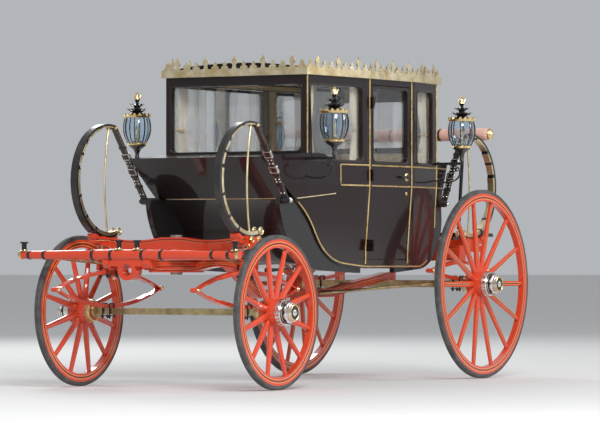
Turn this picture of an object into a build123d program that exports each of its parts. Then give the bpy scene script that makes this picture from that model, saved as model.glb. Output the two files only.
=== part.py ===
from build123d import *
import os
from math import atan2, cos, degrees, hypot, radians, sin

# Horse-drawn glass coach: a closed body, hung by leather braces from four C-springs,
# over a perch carriage with a steering forecarriage and four spoked wheels.
# All sizes are in millimetres. Lengths run back from the front axle, heights run up
# from the floor, half widths run out from the centre line. Left is +X, front is -Y.

# Wheels
front_radius = 540
rear_radius = 720
front_spokes = 12
rear_spokes = 14
wheelbase = 3000
half_track = 830
tyre_width = 44
tyre_depth = 30
tyre_shoulder = 9
tyre_tread = 26
felloe_depth = 58
dish = 30
nave_inner_end = 128
nave_outer_end = 80
nave_radius = 96
hub_cap_end = 158
hub_cap_radius = 62
spoke_root = (38, 48)
spoke_tip = (26, 32)

# Axles
arm_radius = 30
arm_fit = 0.06
arm_end_gap = 10
nave_end_gap = 3
collar_radius = 52
collar_width = 30
front_axle_size = 46
rear_axle_size = 54

# Under-springs, the full elliptic ones over each axle
leaf_thick = 9
leaf_count = 3
leaf_width = 48
leaf_shortening = 0.24
front_leaf_reach = 660
front_leaf_height = 268
front_leaf_side = 580
rear_leaf_reach = 440
rear_leaf_height = 150
rear_leaf_side = 622
eye_radius = 17
eye_inset = 4

# Forecarriage
fore_bed_half = 650
fore_bed_length = 104
fore_bed_depth = 76
fore_bed_arch = 26
fore_bed_arch_start = 225
fore_bed_plate = 14
futchell_side = 170
futchell_width = 52
futchell_depth = 60
futchell_tail = 430
futchell_tail_depth = 38
futchell_nose = 30
crossbar_length = 70
ring_outer = 400
ring_inner = 346
ring_thick = 15
kingpin_radius = 20
kingpin_fit = 0.06
kingpin_head_radius = 42
kingpin_head_depth = 16
splinter_ahead = 615
splinter_radius = 38
splinter_end_radius = 27
splinter_half = 917
splinter_seat = 6
roller_places = (-880, -75, 75, 880)
roller_radius = 18
roller_head_radius = 29
roller_head_depth = 11
roller_height = 66
socket_radius = 42
socket_length = 90
socket_block_half = 72
socket_bar_depth = 46
stay_radius = 11
stay_front_side = 745

# Upper carriage
transom_half = 660
transom_length = 112
transom_dip = 20
transom_middle = 90
transom_end = 110
transom_arch = 44
saddle_width_half = 40
saddle_depth = 60
horn_side = 262
horn_width = 46
horn_depth = 46
horn_reach = 420
perch_width = 70
perch_depth = 62
perch_neck_end = 500
perch_low_start = 1060
perch_low = 655
perch_low_end = 2100
perch_bend = 96
perch_stay_start = 1900
perch_stay_side = 420
rear_frame_back = 340
rear_beam_length = 100

# C-springs and leather braces
hoop_radius = 400
hoop_height = 1465
hoop_side = 600
hoop_width = 48
hoop_leaf = 9
hoop_steps = ((80, 286), (104, 286), (134, 286), (166, 286))
rear_hoop_back = 200
saddle_half = 90
saddle_rise = 22
hoop_tip_eye = 9
brace_width = 50
brace_thick = 12
brace_gap = 0.3
brace_start = 243
brace_end = 76.5
brace_eye = 25
loop_pin_radius = 12
loop_inset = 30
loop_thick = 40
loop_pin_height = 1330
front_pin_reach = 503
rear_pin_reach = 400
jack_radius = 22
bow_radius = 7
bow_bulge = 44

# Body, side view
wall = 45
body_front = 780
body_back = 2700
body_bottom = 842
bottom_start = 1600
bottom_end = 2400
quarter_top = 1335
quarter_front = 650
elbow = 1600
belt = 1450
cornice = 2250
front_round = ((790, 1240), (905, 1128), (1075, 950), (1300, 868))
back_round = ((2610, 900), 1140)
turn_under = 50

# Body, plan view: place along the body, half width at the belt
plan_sections = (
    (100, 527),
    (780, 600),
    (1560, 650),
    (2270, 650),
    (2700, 600),
    (3060, 560),
)

# Boots in front of and behind the cabin
boot_top_front = (225, 1635)
boot_top_rear = 1674
cheek_end = 1200
cheek_low = 1385
cheek_thick = 14
boot_wall = 25
rear_boot_half = 552
rear_boot_top = (2955, 1640)
rear_boot_low = (2790, 1180)

# Doors
door_start = 1610
door_end = 2210
door_low = 905
door_high = 2195
door_gap = 6
hinge_out = 24
hinge_radius = 9
hinge_pin_radius = 5
hinge_pin_fit = 0.06
hinge_knuckle = 40
hinge_collar = 22
hinge_slack = 0.5
hinge_arm = 15
hinge_heights = (1010, 1525, 2060)
handle_inset = 60
handle_height = 1522
handle_stand = 26
handle_length = 112

# Windows: first and last place along the body, lowest and highest edge
window_low = 1632
window_high = 2168
window_corner = 38
front_quarter_window = (838, 1500)
door_window = (1658, 2158)
rear_quarter_window = (2325, 2610)
front_window_half = 553
front_window_low = 1690
rear_window_half = 330
rear_window_low = 1760
rear_window_high = 2110
pane_thick = 6

# Roof and its gilded gallery
roof_thick = 30
roof_rise = 56
roof_edge = 28
cornice_out = 28
cornice_low = 14
cornice_high = 42
leaf_pitch = 80
crest_thick = 8
crest_leaf = ((28, 0), (32, 14), (13, 24), (17, 37), (0, 55))
crest_finial = ((22, 0), (13, 26), (27, 44), (20, 68), (9, 73), (0, 96))

# Lamps
lamp_side = 845
lamp_places = (763, 2650)
lamp_stem_low = 1622
lamp_ribs = 8
lamp_rib = 7
lamp_glass_thick = 4
lamp_base = ((10, 0), (10, 26), (18, 34), (14, 60), (26, 92), (62, 118), (74, 134), (66, 142))
lamp_glass_low = 142
lamp_glass_high = 330
lamp_glass_ends = (62, 84)
lamp_glass_belly = 98
lamp_top = ((98, 330), (104, 342), (60, 352), (34, 368), (66, 382), (30, 392), (22, 408), (48, 420),
            (20, 430), (10, 440), (24, 466), (16, 496), (0, 524))
lamp_bracket_width = 24
lamp_bracket_depth = 20

# Seats
seat_board = 20
seat_setback = 10
front_box_rise = 60
seat_height = 1190
cushion_depth = 130
cushion_half = 510
cushion_gap = 0.5
front_seat_end = 1270
rear_seat_start = 2240
back_thick = 90
front_back_thick = 72
rear_back_high = 1740
front_back_high = 1625

# Footmen's board, its standards and the padded roll
board_start = 3420
board_end = 3790
board_half = 500
board_thick = 26
bracket_side = 420
bracket_width = 44
bracket_thick = 25
roll_back = 3450
roll_height = 1880
roll_radius = 55
roll_half = 680
standard_radius = 14
standard_foot = 3366
standard_knee = (3412, 1500)

# Rear frame: its beams hang below the foot of the C-springs by these drops
bed_drop = 50
side_beam_drop = 100
side_beam_half = 40
cross_beam_drop = 80
cross_beam_inset = 40
bracket_drop = 6
board_overhang = 40

# Body loops: a point on each loop's belly, and the point where it leaves for the body's floor
front_loop_belly = (640, 985)
front_loop_foot = (1000, 830)
rear_loop_belly = (2735, 960)
rear_loop_foot = (2500, 836)
loop_drop = 34
loop_rise = 20
rear_loop_run = 300

# Places that follow from the sizes above
front_axle_top = front_radius + front_axle_size / 2
fore_bed_low = front_axle_top + front_leaf_height
deck = fore_bed_low + fore_bed_depth
upper_ring_low = deck + ring_thick
transom_low = upper_ring_low + ring_thick
hoop_foot = hoop_height - hoop_radius
rear_axle_top = rear_radius + rear_axle_size / 2
rear_bed_low = rear_axle_top + rear_leaf_height
rear_hoop = wheelbase + rear_hoop_back
front_reach = max(splinter_ahead + splinter_radius, front_leaf_reach - eye_inset + eye_radius)
middle = (board_end - front_reach) / 2
hinge_x = plan_sections[2][1] + hinge_out
shell_top = cornice + 3 * wall


# Helpers

def side_prism(curve, inner, outer):
    """A side-view outline, given a thickness from one half width to another."""
    return Pos(inner, 0, 0) * extrude(Plane.YZ * make_face(curve), amount=outer - inner)


def front_prism(curve, y0, y1):
    """A front-view outline, given a thickness from one place along the coach to another."""
    return Pos(0, y1, 0) * extrude(Plane.XZ * make_face(curve), amount=y1 - y0)


def across(curve, half):
    """A side-view outline, as wide as the whole body part."""
    return side_prism(curve, -half, half)


def block(x0, x1, y0, y1, z0, z1):
    """A squared timber or plate between two corners."""
    return Pos((x0 + x1) / 2, (y0 + y1) / 2, (z0 + z1) / 2) * Box(x1 - x0, y1 - y0, z1 - z0)


def bar(start, end, radius):
    """A round iron bar between two points."""
    path = Line(start, end)
    return extrude(Plane(origin=start, z_dir=path % 0) * Circle(radius), amount=path.length)


def both_sides(solid):
    """The same piece on the left and on the right."""
    return [solid, mirror(solid, about=Plane.YZ)]


def ring_sector(centre, outer, inner, start, end):
    """The side view of a curved leaf between two radii and two angles."""
    long_arc = CenterArc(centre, outer, start, end - start)
    short_arc = CenterArc(centre, inner, start, end - start)
    ends = Line(long_arc @ 0, short_arc @ 0) + Line(long_arc @ 1, short_arc @ 1)
    return long_arc + short_arc + ends


def pin_across(x0, x1, y, z, radius):
    """A round pin that lies across the coach."""
    return Pos((x0 + x1) / 2, y, z) * Rot(0, 90, 0) * Cylinder(radius, x1 - x0)


def chamfered(width, height):
    """The eight-sided section of a spoke."""
    corner = min(width, height) * 0.3
    return chamfer(Rectangle(width, height).vertices(), corner)


def save(name, *solids):
    """Move a sub-part so that the origin is under the middle of the coach, and write it."""
    shapes = [Pos(0, -middle, 0) * one for one in solids]
    shape = shapes[0] if len(shapes) == 1 else Compound(children=[s for one in shapes for s in one.solids()])
    export_step(shape, f"parts/{name}.step")


# Body

def envelope(extra):
    """The body's plan, upright above the belt and turned under below it."""
    def plan(height, narrow):
        right = [(half + extra - narrow, y) for y, half in plan_sections]
        left = [(-x, y) for x, y in reversed(right)]
        return Pos(0, 0, height) * make_face(Polyline(*right, *left, close=True))

    upper = extrude(plan(belt, 0), amount=shell_top + wall - belt)
    lower = loft([plan(body_bottom - wall, turn_under), plan(belt, 0)], ruled=True)
    return upper + lower


def body_outline(top, inset=0):
    """The side view of tub and cabin up to a given height, or the room inside its walls."""
    a, b, c, d = front_round
    knee, heel = back_round
    curve = Line((body_front, top), (body_front, quarter_top + 12))
    curve += Line((body_front, quarter_top + 12), (quarter_front, quarter_top))
    curve += ThreePointArc((quarter_front, quarter_top), a, b)
    curve += ThreePointArc(b, c, d)
    curve += Line(d, (bottom_start, body_bottom))
    curve += Line((bottom_start, body_bottom), (bottom_end, body_bottom))
    curve += ThreePointArc((bottom_end, body_bottom), knee, (body_back, heel))
    curve += Line((body_back, heel), (body_back, top))
    curve += Line((body_back, top), (body_front, top))
    if inset:
        return offset(make_face(curve), -inset).edges()
    return curve


def opening(first, last, low, high, corner, sides):
    """A rounded opening through a side wall."""
    shape = RectangleRounded(last - first, high - low, corner)
    face = Plane.YZ * Pos((first + last) / 2, (low + high) / 2) * shape
    return Pos(sides * 400, 0, 0) * extrude(face, amount=sides * 500)


def end_opening(y, half, low, high, depth):
    """A rounded opening through the front or the back wall."""
    face = Plane.XZ * Pos(0, (low + high) / 2) * RectangleRounded(2 * half, high - low, window_corner)
    return Pos(0, y + depth / 2, 0) * extrude(face, amount=depth)


def door_block(side, gap):
    """The space of one door, less a running gap all round."""
    x0, x1 = sorted((side * 450, side * 800))
    return block(x0, x1, door_start + gap, door_end - gap, door_low + gap, door_high - gap)


half_far = plan_sections[2][1] + 100
outer_body = envelope(0) & across(body_outline(cornice), half_far)
inner_room = envelope(-wall) & across(body_outline(shell_top, wall), half_far)
shell = outer_body - inner_room
pane_layer = envelope(-(wall - pane_thick) / 2) - envelope(-(wall + pane_thick) / 2)

side_windows = []
for first, last in (front_quarter_window, rear_quarter_window):
    for side in (1, -1):
        side_windows.append(opening(first, last, window_low, window_high, window_corner, side))
front_window = end_opening(body_front + wall / 2, front_window_half, front_window_low, window_high, 3 * wall)
rear_window = end_opening(body_back - wall / 2, rear_window_half, rear_window_low, rear_window_high, 3 * wall)

walls = shell - front_window - rear_window
for window in side_windows:
    walls -= window
for side in (1, -1):
    walls -= door_block(side, 0)


# Door hinges: two collars and a pin on the body, one knuckle on the door

def hinge_parts(side, height):
    """The fixed collars with their pin, and the knuckle that turns on it."""
    x = side * hinge_x
    reach = (height - belt) / (belt - body_bottom) * turn_under if height < belt else 0
    surface = plan_sections[2][1] + reach - 4
    low, high = height - hinge_knuckle / 2, height + hinge_knuckle / 2
    span = hinge_knuckle / 2 + hinge_slack + hinge_collar
    axle = Pos(x, door_start, height) * Cylinder(hinge_pin_radius, 2 * span)
    fixed = axle
    for way in (1, -1):
        centre = height + way * (hinge_knuckle / 2 + hinge_slack + hinge_collar / 2)
        x0, x1 = sorted((side * surface, x))
        arm = block(x0, x1, door_start - hinge_arm, door_start - 3, centre - hinge_collar / 2, centre + hinge_collar / 2)
        fixed += Pos(x, door_start, centre) * Cylinder(hinge_radius, hinge_collar) + arm
    x0, x1 = sorted((side * surface, x))
    arm = block(x0, x1, door_start + door_gap + 1, door_start + door_gap + hinge_arm, low, high)
    arm += block(*sorted((x - 5, x + 5)), door_start, door_start + door_gap + hinge_arm, low, high)
    turning = Pos(x, door_start, height) * Cylinder(hinge_radius, hinge_knuckle) + arm
    turning -= Pos(x, door_start, height) * Cylinder(hinge_pin_radius + hinge_pin_fit, 2 * span)
    return fixed, turning


def door_leaf(side):
    """One door: a piece of the body's own wall, with its window and knuckles."""
    window = opening(*door_window, window_low, window_high, window_corner, side)
    leaf = (shell & door_block(side, door_gap)) - window
    for height in hinge_heights:
        leaf += hinge_parts(side, height)[1]
    return leaf


def door_handle(side):
    """A turned rose with a lever that lies along the door."""
    y = door_end - handle_inset
    skin = plan_sections[2][1]
    rose = pin_across(*sorted((side * skin, side * (skin + handle_stand))), y, handle_height, 15)
    lever_x = sorted((side * (skin + handle_stand - 12), side * (skin + handle_stand)))
    lever = block(*lever_x, y - handle_length, y, handle_height - 8, handle_height + 8)
    return rose + fillet(lever.edges().filter_by(Axis.X), 6)


tub = walls - block(-half_far, half_far, 0, 4000, elbow, shell_top + wall)
frame = walls & block(-half_far, half_far, 0, 4000, elbow, shell_top + wall)
for side in (1, -1):
    for height in hinge_heights:
        if height < elbow:
            tub += hinge_parts(side, height)[0]
        else:
            frame += hinge_parts(side, height)[0]

boot_line = Polyline(boot_top_front, (body_front, boot_top_rear), (body_front + 120, boot_top_rear))
boot_line += ThreePointArc((body_front + 120, boot_top_rear), (1118, 1600), (cheek_end, belt))
boot_line += Polyline((cheek_end, belt), (cheek_end, cheek_low), (quarter_front, quarter_top), boot_top_front)
front_boot = (envelope(cheek_thick) & across(boot_line, half_far)) - outer_body
boot_room = offset(make_face(boot_line), -boot_wall).edges()
front_boot -= (envelope(cheek_thick - boot_wall) & across(boot_room, half_far)) - block(
    -half_far, half_far, body_front - boot_wall, 2000, 0, 3000)

rear_boot_line = Polyline((body_back, rear_boot_low[1]), rear_boot_low, rear_boot_top,
                          (body_back, rear_boot_top[1] + 20), close=True)
rear_boot = across(rear_boot_line, rear_boot_half)
rear_boot_room = offset(make_face(rear_boot_line), -boot_wall).edges()
rear_boot -= across(rear_boot_room, rear_boot_half - boot_wall)

front_pane = (front_window & block(-half_far, half_far, body_front + (wall - pane_thick) / 2,
                                   body_front + (wall + pane_thick) / 2, 0, 3000))
rear_pane = (rear_window & block(-half_far, half_far, body_back - (wall + pane_thick) / 2,
                                 body_back - (wall - pane_thick) / 2, 0, 3000))
quarter_panes = [window & pane_layer for window in side_windows]


def door_pane(side):
    """The drop glass of one door."""
    return opening(*door_window, window_low, window_high, window_corner, side) & pane_layer


# Roof and gallery

def crown(height):
    """A long drum whose top is the roof's curve."""
    half = plan_sections[2][1]
    radius = (half ** 2 + roof_rise ** 2) / (2 * roof_rise)
    return Pos(0, 1700, height - radius) * Rot(90, 0, 0) * Cylinder(radius, 3000)


crown_top = cornice + roof_edge + roof_rise
roof_block = block(-half_far, half_far, body_front, body_back, cornice, cornice + 200)
roof_room = block(-half_far, half_far, body_front + wall, body_back - wall, 0, 3000)
roof = envelope(0) & roof_block & crown(crown_top)
roof -= envelope(-wall) & roof_room & crown(crown_top - roof_thick)

ring_block = block(-half_far, half_far, body_front - cornice_out, body_back + cornice_out,
                   cornice - cornice_low, cornice + cornice_high)
hollow_block = block(-half_far, half_far, body_front, body_back, cornice - 100, cornice + 200)
gallery = (envelope(cornice_out) & ring_block) - (envelope(0) & hollow_block)


def crest_plate(outline):
    """One gilded leaf, cut from plate, standing on the cornice."""
    left = [(-x, z) for x, z in reversed(outline) if x > 0]
    face = Plane.XZ * make_face(Polyline(*outline, *left, close=True))
    return extrude(face, amount=crest_thick / 2, both=True)


def half_width_at(y):
    """The body's half width at the belt, at one place along it."""
    for (y0, w0), (y1, w1) in zip(plan_sections, plan_sections[1:]):
        if y0 <= y <= y1:
            return w0 + (w1 - w0) * (y - y0) / (y1 - y0)
    return plan_sections[-1][1]


def crest_run(start, end, small, tall):
    """Leaves along one straight run of the cornice, every third one a tall finial."""
    length = hypot(end[0] - start[0], end[1] - start[1])
    count = 3 * max(1, round(length / leaf_pitch / 3))
    turn = degrees(atan2(end[1] - start[1], end[0] - start[0]))
    plates = []
    for i in range(count):
        part = (i + 0.5) / count
        x = start[0] + (end[0] - start[0]) * part
        y = start[1] + (end[1] - start[1]) * part
        plate = tall if i % 3 == 1 else small
        plates.append(Pos(x, y, cornice + cornice_high - 1) * Rot(0, 0, turn) * plate)
    return plates


def crest_leaves():
    """The whole row of leaves round the roof."""
    small, tall = crest_plate(crest_leaf), crest_plate(crest_finial)
    mid = cornice_out / 2
    corners = [(half_width_at(body_front) + mid, body_front - mid)]
    corners += [(half + mid, y) for y, half in plan_sections if body_front < y < body_back]
    corners += [(half_width_at(body_back) + mid, body_back + mid)]
    plates = []
    for start, end in zip(corners, corners[1:]):
        run = crest_run(start, end, small, tall)
        plates += run + [mirror(plate, about=Plane.YZ) for plate in run]
    for x, y in (corners[0], corners[-1]):
        plates += crest_run((-x, y), (x, y), small, tall)
    return plates


gallery = gallery + crest_leaves()


# Lamps

def lamp(y):
    """One round carriage lamp on the left: metal frame, then its glass."""
    origin = Pos(lamp_side, y, lamp_stem_low)
    base = revolve(Plane.XZ * make_face(Polyline((0, 0), *lamp_base, (0, lamp_base[-1][1]), close=True)), Axis.Z)
    top = revolve(Plane.XZ * make_face(Polyline((0, lamp_top[0][1]), *lamp_top, close=True)), Axis.Z)
    low, high = (lamp_glass_ends[0], lamp_glass_low), (lamp_glass_ends[1], lamp_glass_high)
    belly = (lamp_glass_belly, (lamp_glass_low + lamp_glass_high) / 2)

    def barrel(extra):
        arc = ThreePointArc((low[0] + extra, low[1]), (belly[0] + extra, belly[1]), (high[0] + extra, high[1]))
        sides = Polyline(arc @ 1, (0, high[1]), (0, low[1]), arc @ 0)
        return revolve(Plane.XZ * make_face(arc + sides), Axis.Z)

    skin = barrel(0)
    glass = skin - barrel(-lamp_glass_thick)
    ribs = []
    for i in range(lamp_ribs):
        fin = block(0, lamp_glass_belly + lamp_rib, -lamp_rib / 2, lamp_rib / 2, lamp_glass_low, lamp_glass_high)
        ribs.append(Rot(0, 0, (i + 0.5) * 360 / lamp_ribs) * fin)
    ribs = Part() + ribs
    metal = base + top + ((ribs & barrel(lamp_rib)) - skin)
    wall_x = half_width_at(y)
    bracket = block(wall_x, lamp_side, y - lamp_bracket_width / 2, y + lamp_bracket_width / 2,
                    lamp_stem_low, lamp_stem_low + lamp_bracket_depth)
    metal = origin * metal + (bracket - outer_body - front_boot)
    return metal, origin * glass


# Springs and braces

def hoop(side):
    """One C-spring, open to the back, about the front axle's line."""
    x0, x1 = side * hoop_side - hoop_width / 2, side * hoop_side + hoop_width / 2
    spring = None
    for i, (start, end) in enumerate(hoop_steps):
        outer = hoop_radius - i * hoop_leaf
        leaf = side_prism(ring_sector((0, hoop_height), outer, outer - hoop_leaf, start, end), x0, x1)
        spring = leaf if spring is None else spring + leaf
    eye_r = hoop_radius - hoop_tip_eye - 1
    y, z = hoop_point(eye_r, hoop_steps[0][0])
    return spring + pin_across(x0 - 9, x1 + 9, y, z, hoop_tip_eye)


def hoop_point(radius, angle):
    """A point on a circle about the C-spring's centre."""
    return radius * cos(radians(angle)), hoop_height + radius * sin(radians(angle))


def brace(side, reach):
    """The leather brace: up round the back of the spring, over its tip and down to the body loop."""
    x0, x1 = side * hoop_side - brace_width / 2, side * hoop_side + brace_width / 2
    inner = hoop_radius + brace_gap
    outer = inner + brace_thick
    strap = side_prism(ring_sector((0, hoop_height), outer, inner, brace_end, brace_start), x0, x1)
    top_y, top_z = hoop_point((inner + outer) / 2, brace_end)
    run_y, run_z = reach - top_y, loop_pin_height - top_z
    length = hypot(run_y, run_z)
    across_y, across_z = -run_z / length * brace_thick / 2, run_y / length * brace_thick / 2
    tip_y, tip_z = hoop_point(outer, brace_end)
    low_y, low_z = hoop_point(inner, brace_end)
    run = Polyline((tip_y, tip_z), (reach + across_y, loop_pin_height + across_z),
                   (reach - across_y, loop_pin_height - across_z), (low_y, low_z), close=True)
    strap += side_prism(run, x0, x1)
    strap += pin_across(x0, x1, reach, loop_pin_height, brace_eye)
    return strap - pin_across(x0 - 1, x1 + 1, reach, loop_pin_height, loop_pin_radius + brace_gap)


def bow_stay(side):
    """The thin gilded bow that stands inside the C-spring."""
    top = hoop_point(hoop_radius - hoop_leaf / 2, 85)
    foot = hoop_point(hoop_radius - 3.5 * hoop_leaf, 272)
    x = side * hoop_side
    arc = ThreePointArc((x, top[0], top[1]), (x, (top[0] + foot[0]) / 2 - bow_bulge, hoop_height),
                        (x, foot[0], foot[1]))
    return sweep(Plane(origin=arc @ 0, z_dir=arc % 0) * Circle(bow_radius), path=arc) - hoop(side)


def to_rear(solid):
    """A front spring piece, turned about and set on the rear carriage."""
    return Pos(0, rear_hoop, 0) * mirror(solid, about=Plane.XZ)


def saddle(side):
    """The timber block under a C-spring, hollowed to its curve, with the brace's jack in front."""
    x0, x1 = side * hoop_side - saddle_width_half, side * hoop_side + saddle_width_half
    rest = block(x0, x1, -saddle_half, saddle_half, hoop_foot - saddle_depth, hoop_foot + saddle_rise)
    rest -= pin_across(x0 - 1, x1 + 1, 0, hoop_height, hoop_radius)
    return rest


def jack(side):
    """The small windlass that tightens a brace, on its iron ear."""
    x0, x1 = side * hoop_side - 36, side * hoop_side + 36
    y, z = hoop_point(hoop_radius + brace_gap + jack_radius, brace_start + 4)
    ear = block(x0 + 8, x1 - 8, y - 14, -saddle_half + 2, hoop_foot - 40, z)
    drum = pin_across(x0, x1, y, z, jack_radius)
    strap_space = pin_across(x0 - 1, x1 + 1, 0, hoop_height, hoop_radius + brace_thick + 2 * brace_gap)
    return (ear - strap_space) + (drum - strap_space)


def elliptic(side, reach, height, low, place):
    """A full elliptic spring: two stacks of leaves, bowed apart, joined at their eyes."""
    rise = height / 2
    radius = (reach ** 2 + rise ** 2) / (2 * rise)
    eye_angle = degrees(atan2(reach, radius - rise))
    stack = None
    for i in range(leaf_count):
        angle = eye_angle * (1 - leaf_shortening * i)
        outer = radius - i * leaf_thick
        sector = ring_sector((0, -radius), outer, outer - leaf_thick, 90 - angle, 90 + angle)
        leaf = side_prism(sector, -leaf_width / 2, leaf_width / 2)
        stack = leaf if stack is None else stack + leaf
    upper = Pos(0, 0, height) * stack
    spring = upper + mirror(upper, about=Plane.XY.offset(height / 2))
    for way in (1, -1):
        spring += pin_across(-leaf_width / 2 - 4, leaf_width / 2 + 4, way * (reach - eye_inset), height / 2, eye_radius)
    return Pos(side, place, low) * spring


# Wheels

def wheel(radius, spokes):
    """A left wheel about the X axis: tyre, wooden wheel, hub cap."""
    half = tyre_width / 2
    rim = radius - tyre_depth
    shoulder = radius - tyre_shoulder
    section = Polyline((half, rim), (half, shoulder), (tyre_tread / 2, radius), (-tyre_tread / 2, radius),
                       (-half, shoulder), (-half, rim), close=True)
    spin = Axis.X
    tyre = revolve(Plane.XZ * make_face(section), spin)
    felloe = revolve(Plane.XZ * Pos(0, rim - felloe_depth / 2) * Rectangle(tyre_width, felloe_depth), spin)
    nave_line = Polyline((-nave_inner_end, 0), (-nave_inner_end, 66), (-nave_inner_end + 22, 80),
                         (-dish - 30, nave_radius), (-dish + 30, nave_radius),
                         (nave_outer_end - 12, 86), (nave_outer_end, 82), (nave_outer_end, 0), close=True)
    nave = revolve(Plane.XZ * make_face(nave_line), spin)
    foot = Plane.XY.offset(nave_radius - 16) * Pos(-dish, 0) * chamfered(*spoke_root)
    head = Plane.XY.offset(rim - felloe_depth + 8) * chamfered(*spoke_tip)
    spoke = loft([foot, head], ruled=True)
    turned = [Rot((i + 0.5) * 360 / spokes, 0, 0) * spoke for i in range(spokes)]
    wood = nave + [felloe, *turned]
    bore_end = nave_outer_end - arm_end_gap
    wood -= pin_across(-nave_inner_end - 1, bore_end, 0, 0, arm_radius + arm_fit)
    cap_line = Polyline((nave_outer_end, 0), (nave_outer_end, 78), (nave_outer_end + 34, 76),
                        (nave_outer_end + 42, hub_cap_radius), (hub_cap_end - 8, hub_cap_radius - 4),
                        (hub_cap_end, hub_cap_radius - 14), (hub_cap_end, 0), close=True)
    cap = revolve(Plane.XZ * make_face(cap_line), spin)
    return tyre, wood, cap


def axle(size, height, place):
    """An axle: a square bed with a collar and a round arm at each end."""
    collar_end = half_track - nave_inner_end - nave_end_gap
    arm_end = half_track + nave_outer_end - 2 * arm_end_gap
    bed = block(-collar_end + collar_width, collar_end - collar_width, -size / 2, size / 2,
                height - size / 2, height + size / 2)
    bed = Pos(0, place, 0) * bed
    for way in (1, -1):
        inner, outer = way * (collar_end - collar_width), way * collar_end
        bed += pin_across(*sorted((inner, outer)), place, height, collar_radius)
        bed += pin_across(*sorted((outer, way * arm_end)), place, height, arm_radius)
    return bed


# Forecarriage

futchell_front = -splinter_ahead - splinter_radius + 8


def futchell_outline():
    """Side view of a futchell: a chamfered nose, and a belly that rises to a slimmer tail."""
    low, tail_low = deck - futchell_depth, deck - futchell_tail_depth
    belly_end = fore_bed_length
    belly = ThreePointArc((belly_end, low), ((belly_end + futchell_tail) / 2, (low + 2 * tail_low) / 3),
                          (futchell_tail, tail_low))
    rest = Polyline((futchell_tail, tail_low), (futchell_tail, deck), (futchell_front, deck),
                    (futchell_front, low + futchell_nose), (futchell_front + futchell_nose, low), (belly_end, low))
    return belly + rest


futchells = None
for side in (1, -1):
    x0, x1 = sorted((side * (futchell_side - futchell_width / 2), side * (futchell_side + futchell_width / 2)))
    timber = side_prism(futchell_outline(), x0, x1)
    futchells = timber if futchells is None else futchells + timber
futchells += block(-futchell_side, futchell_side, futchell_tail - crossbar_length, futchell_tail,
                   deck - futchell_tail_depth, deck)
socket_front = futchell_front + 10
socket_height = deck - socket_block_half
futchells += block(-futchell_side, futchell_side, socket_front, socket_front + socket_length,
                   deck - socket_bar_depth, deck)
futchells += Pos(0, socket_front + socket_length / 2, socket_height) * Rot(90, 0, 0) * Cylinder(
    socket_block_half, socket_length)
futchells -= Pos(0, socket_front + socket_length / 2, socket_height) * Rot(90, 0, 0) * Cylinder(
    socket_radius, socket_length + 20)

lower_ring = Pos(0, 0, deck + ring_thick / 2) * (Cylinder(ring_outer, ring_thick) - Cylinder(ring_inner, ring_thick))
upper_ring = Pos(0, 0, ring_thick) * lower_ring



def fore_bed_outline():
    """Front view of the fore bed: flat on top, arched up between its middle and the springs."""
    arch_end = front_leaf_side - leaf_width / 2 - fore_bed_plate
    mid = (fore_bed_arch_start + arch_end) / 2
    arches = [ThreePointArc((way * fore_bed_arch_start, fore_bed_low), (way * mid, fore_bed_low + fore_bed_arch),
                            (way * arch_end, fore_bed_low)) for way in (1, -1)]
    ends = Polyline((arch_end, fore_bed_low), (fore_bed_half, fore_bed_low), (fore_bed_half, deck),
                    (-fore_bed_half, deck), (-fore_bed_half, fore_bed_low), (-arch_end, fore_bed_low))
    return arches[0] + arches[1] + ends + Line((-fore_bed_arch_start, fore_bed_low), (fore_bed_arch_start, fore_bed_low))


fore_bed = front_prism(fore_bed_outline(), -fore_bed_length / 2, fore_bed_length / 2)
fore_bed -= futchells
plate_half = futchell_side + futchell_width / 2 + 4
kingpin_low = fore_bed_low - fore_bed_plate
fore_bed = fore_bed + block(-plate_half, plate_half, -fore_bed_length / 2, fore_bed_length / 2,
                            kingpin_low, deck - futchell_depth)
fore_bed -= Pos(0, 0, deck) * Cylinder(kingpin_radius, 400)

transom_top = hoop_foot
kingpin = Pos(0, 0, (kingpin_low + transom_top) / 2) * Cylinder(kingpin_radius, transom_top - kingpin_low)
for z in (kingpin_low - kingpin_head_depth / 2, transom_top + kingpin_head_depth / 2):
    kingpin += Pos(0, 0, z) * Cylinder(kingpin_head_radius, kingpin_head_depth)

splinter_z = deck + splinter_radius - splinter_seat
taper_line = Polyline((-splinter_half, 0), (-splinter_half, splinter_end_radius), (-200, splinter_radius),
                      (200, splinter_radius), (splinter_half, splinter_end_radius), (splinter_half, 0), close=True)
splinter = Pos(0, -splinter_ahead, splinter_z) * revolve(Plane.XZ * make_face(taper_line), Axis.X)
splinter -= block(-300, 300, -splinter_ahead - 100, -splinter_ahead + 100, deck - 50, deck)


def splinter_radius_at(x):
    """The splinter bar's radius at a place along it."""
    part = max(0, (abs(x) - 200) / (splinter_half - 200))
    return splinter_radius + (splinter_end_radius - splinter_radius) * part


def roller(x):
    """One roller bolt: a shank through the bar, with a broad head over it."""
    low = splinter_z - 10
    top = splinter_z + splinter_radius_at(x) + roller_height
    shank = Pos(x, -splinter_ahead, (low + top) / 2) * Cylinder(roller_radius, top - low)
    head = Pos(x, -splinter_ahead, top - roller_head_depth / 2) * Cylinder(roller_head_radius, roller_head_depth)
    return shank + head


rollers = [roller(x) for x in roller_places]
for x in roller_places:
    low = splinter_z - 10
    splinter -= Pos(x, -splinter_ahead, low + 100) * Cylinder(roller_radius, 200)

stay_z = splinter_z - 8
fore_stays = both_sides(bar((stay_front_side, -splinter_ahead + 20, stay_z),
                            (fore_bed_half - 90, -fore_bed_length / 2 - 4, deck - 30), stay_radius))
fore_stays = [one - splinter - fore_bed for one in fore_stays]


# Upper carriage

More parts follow.
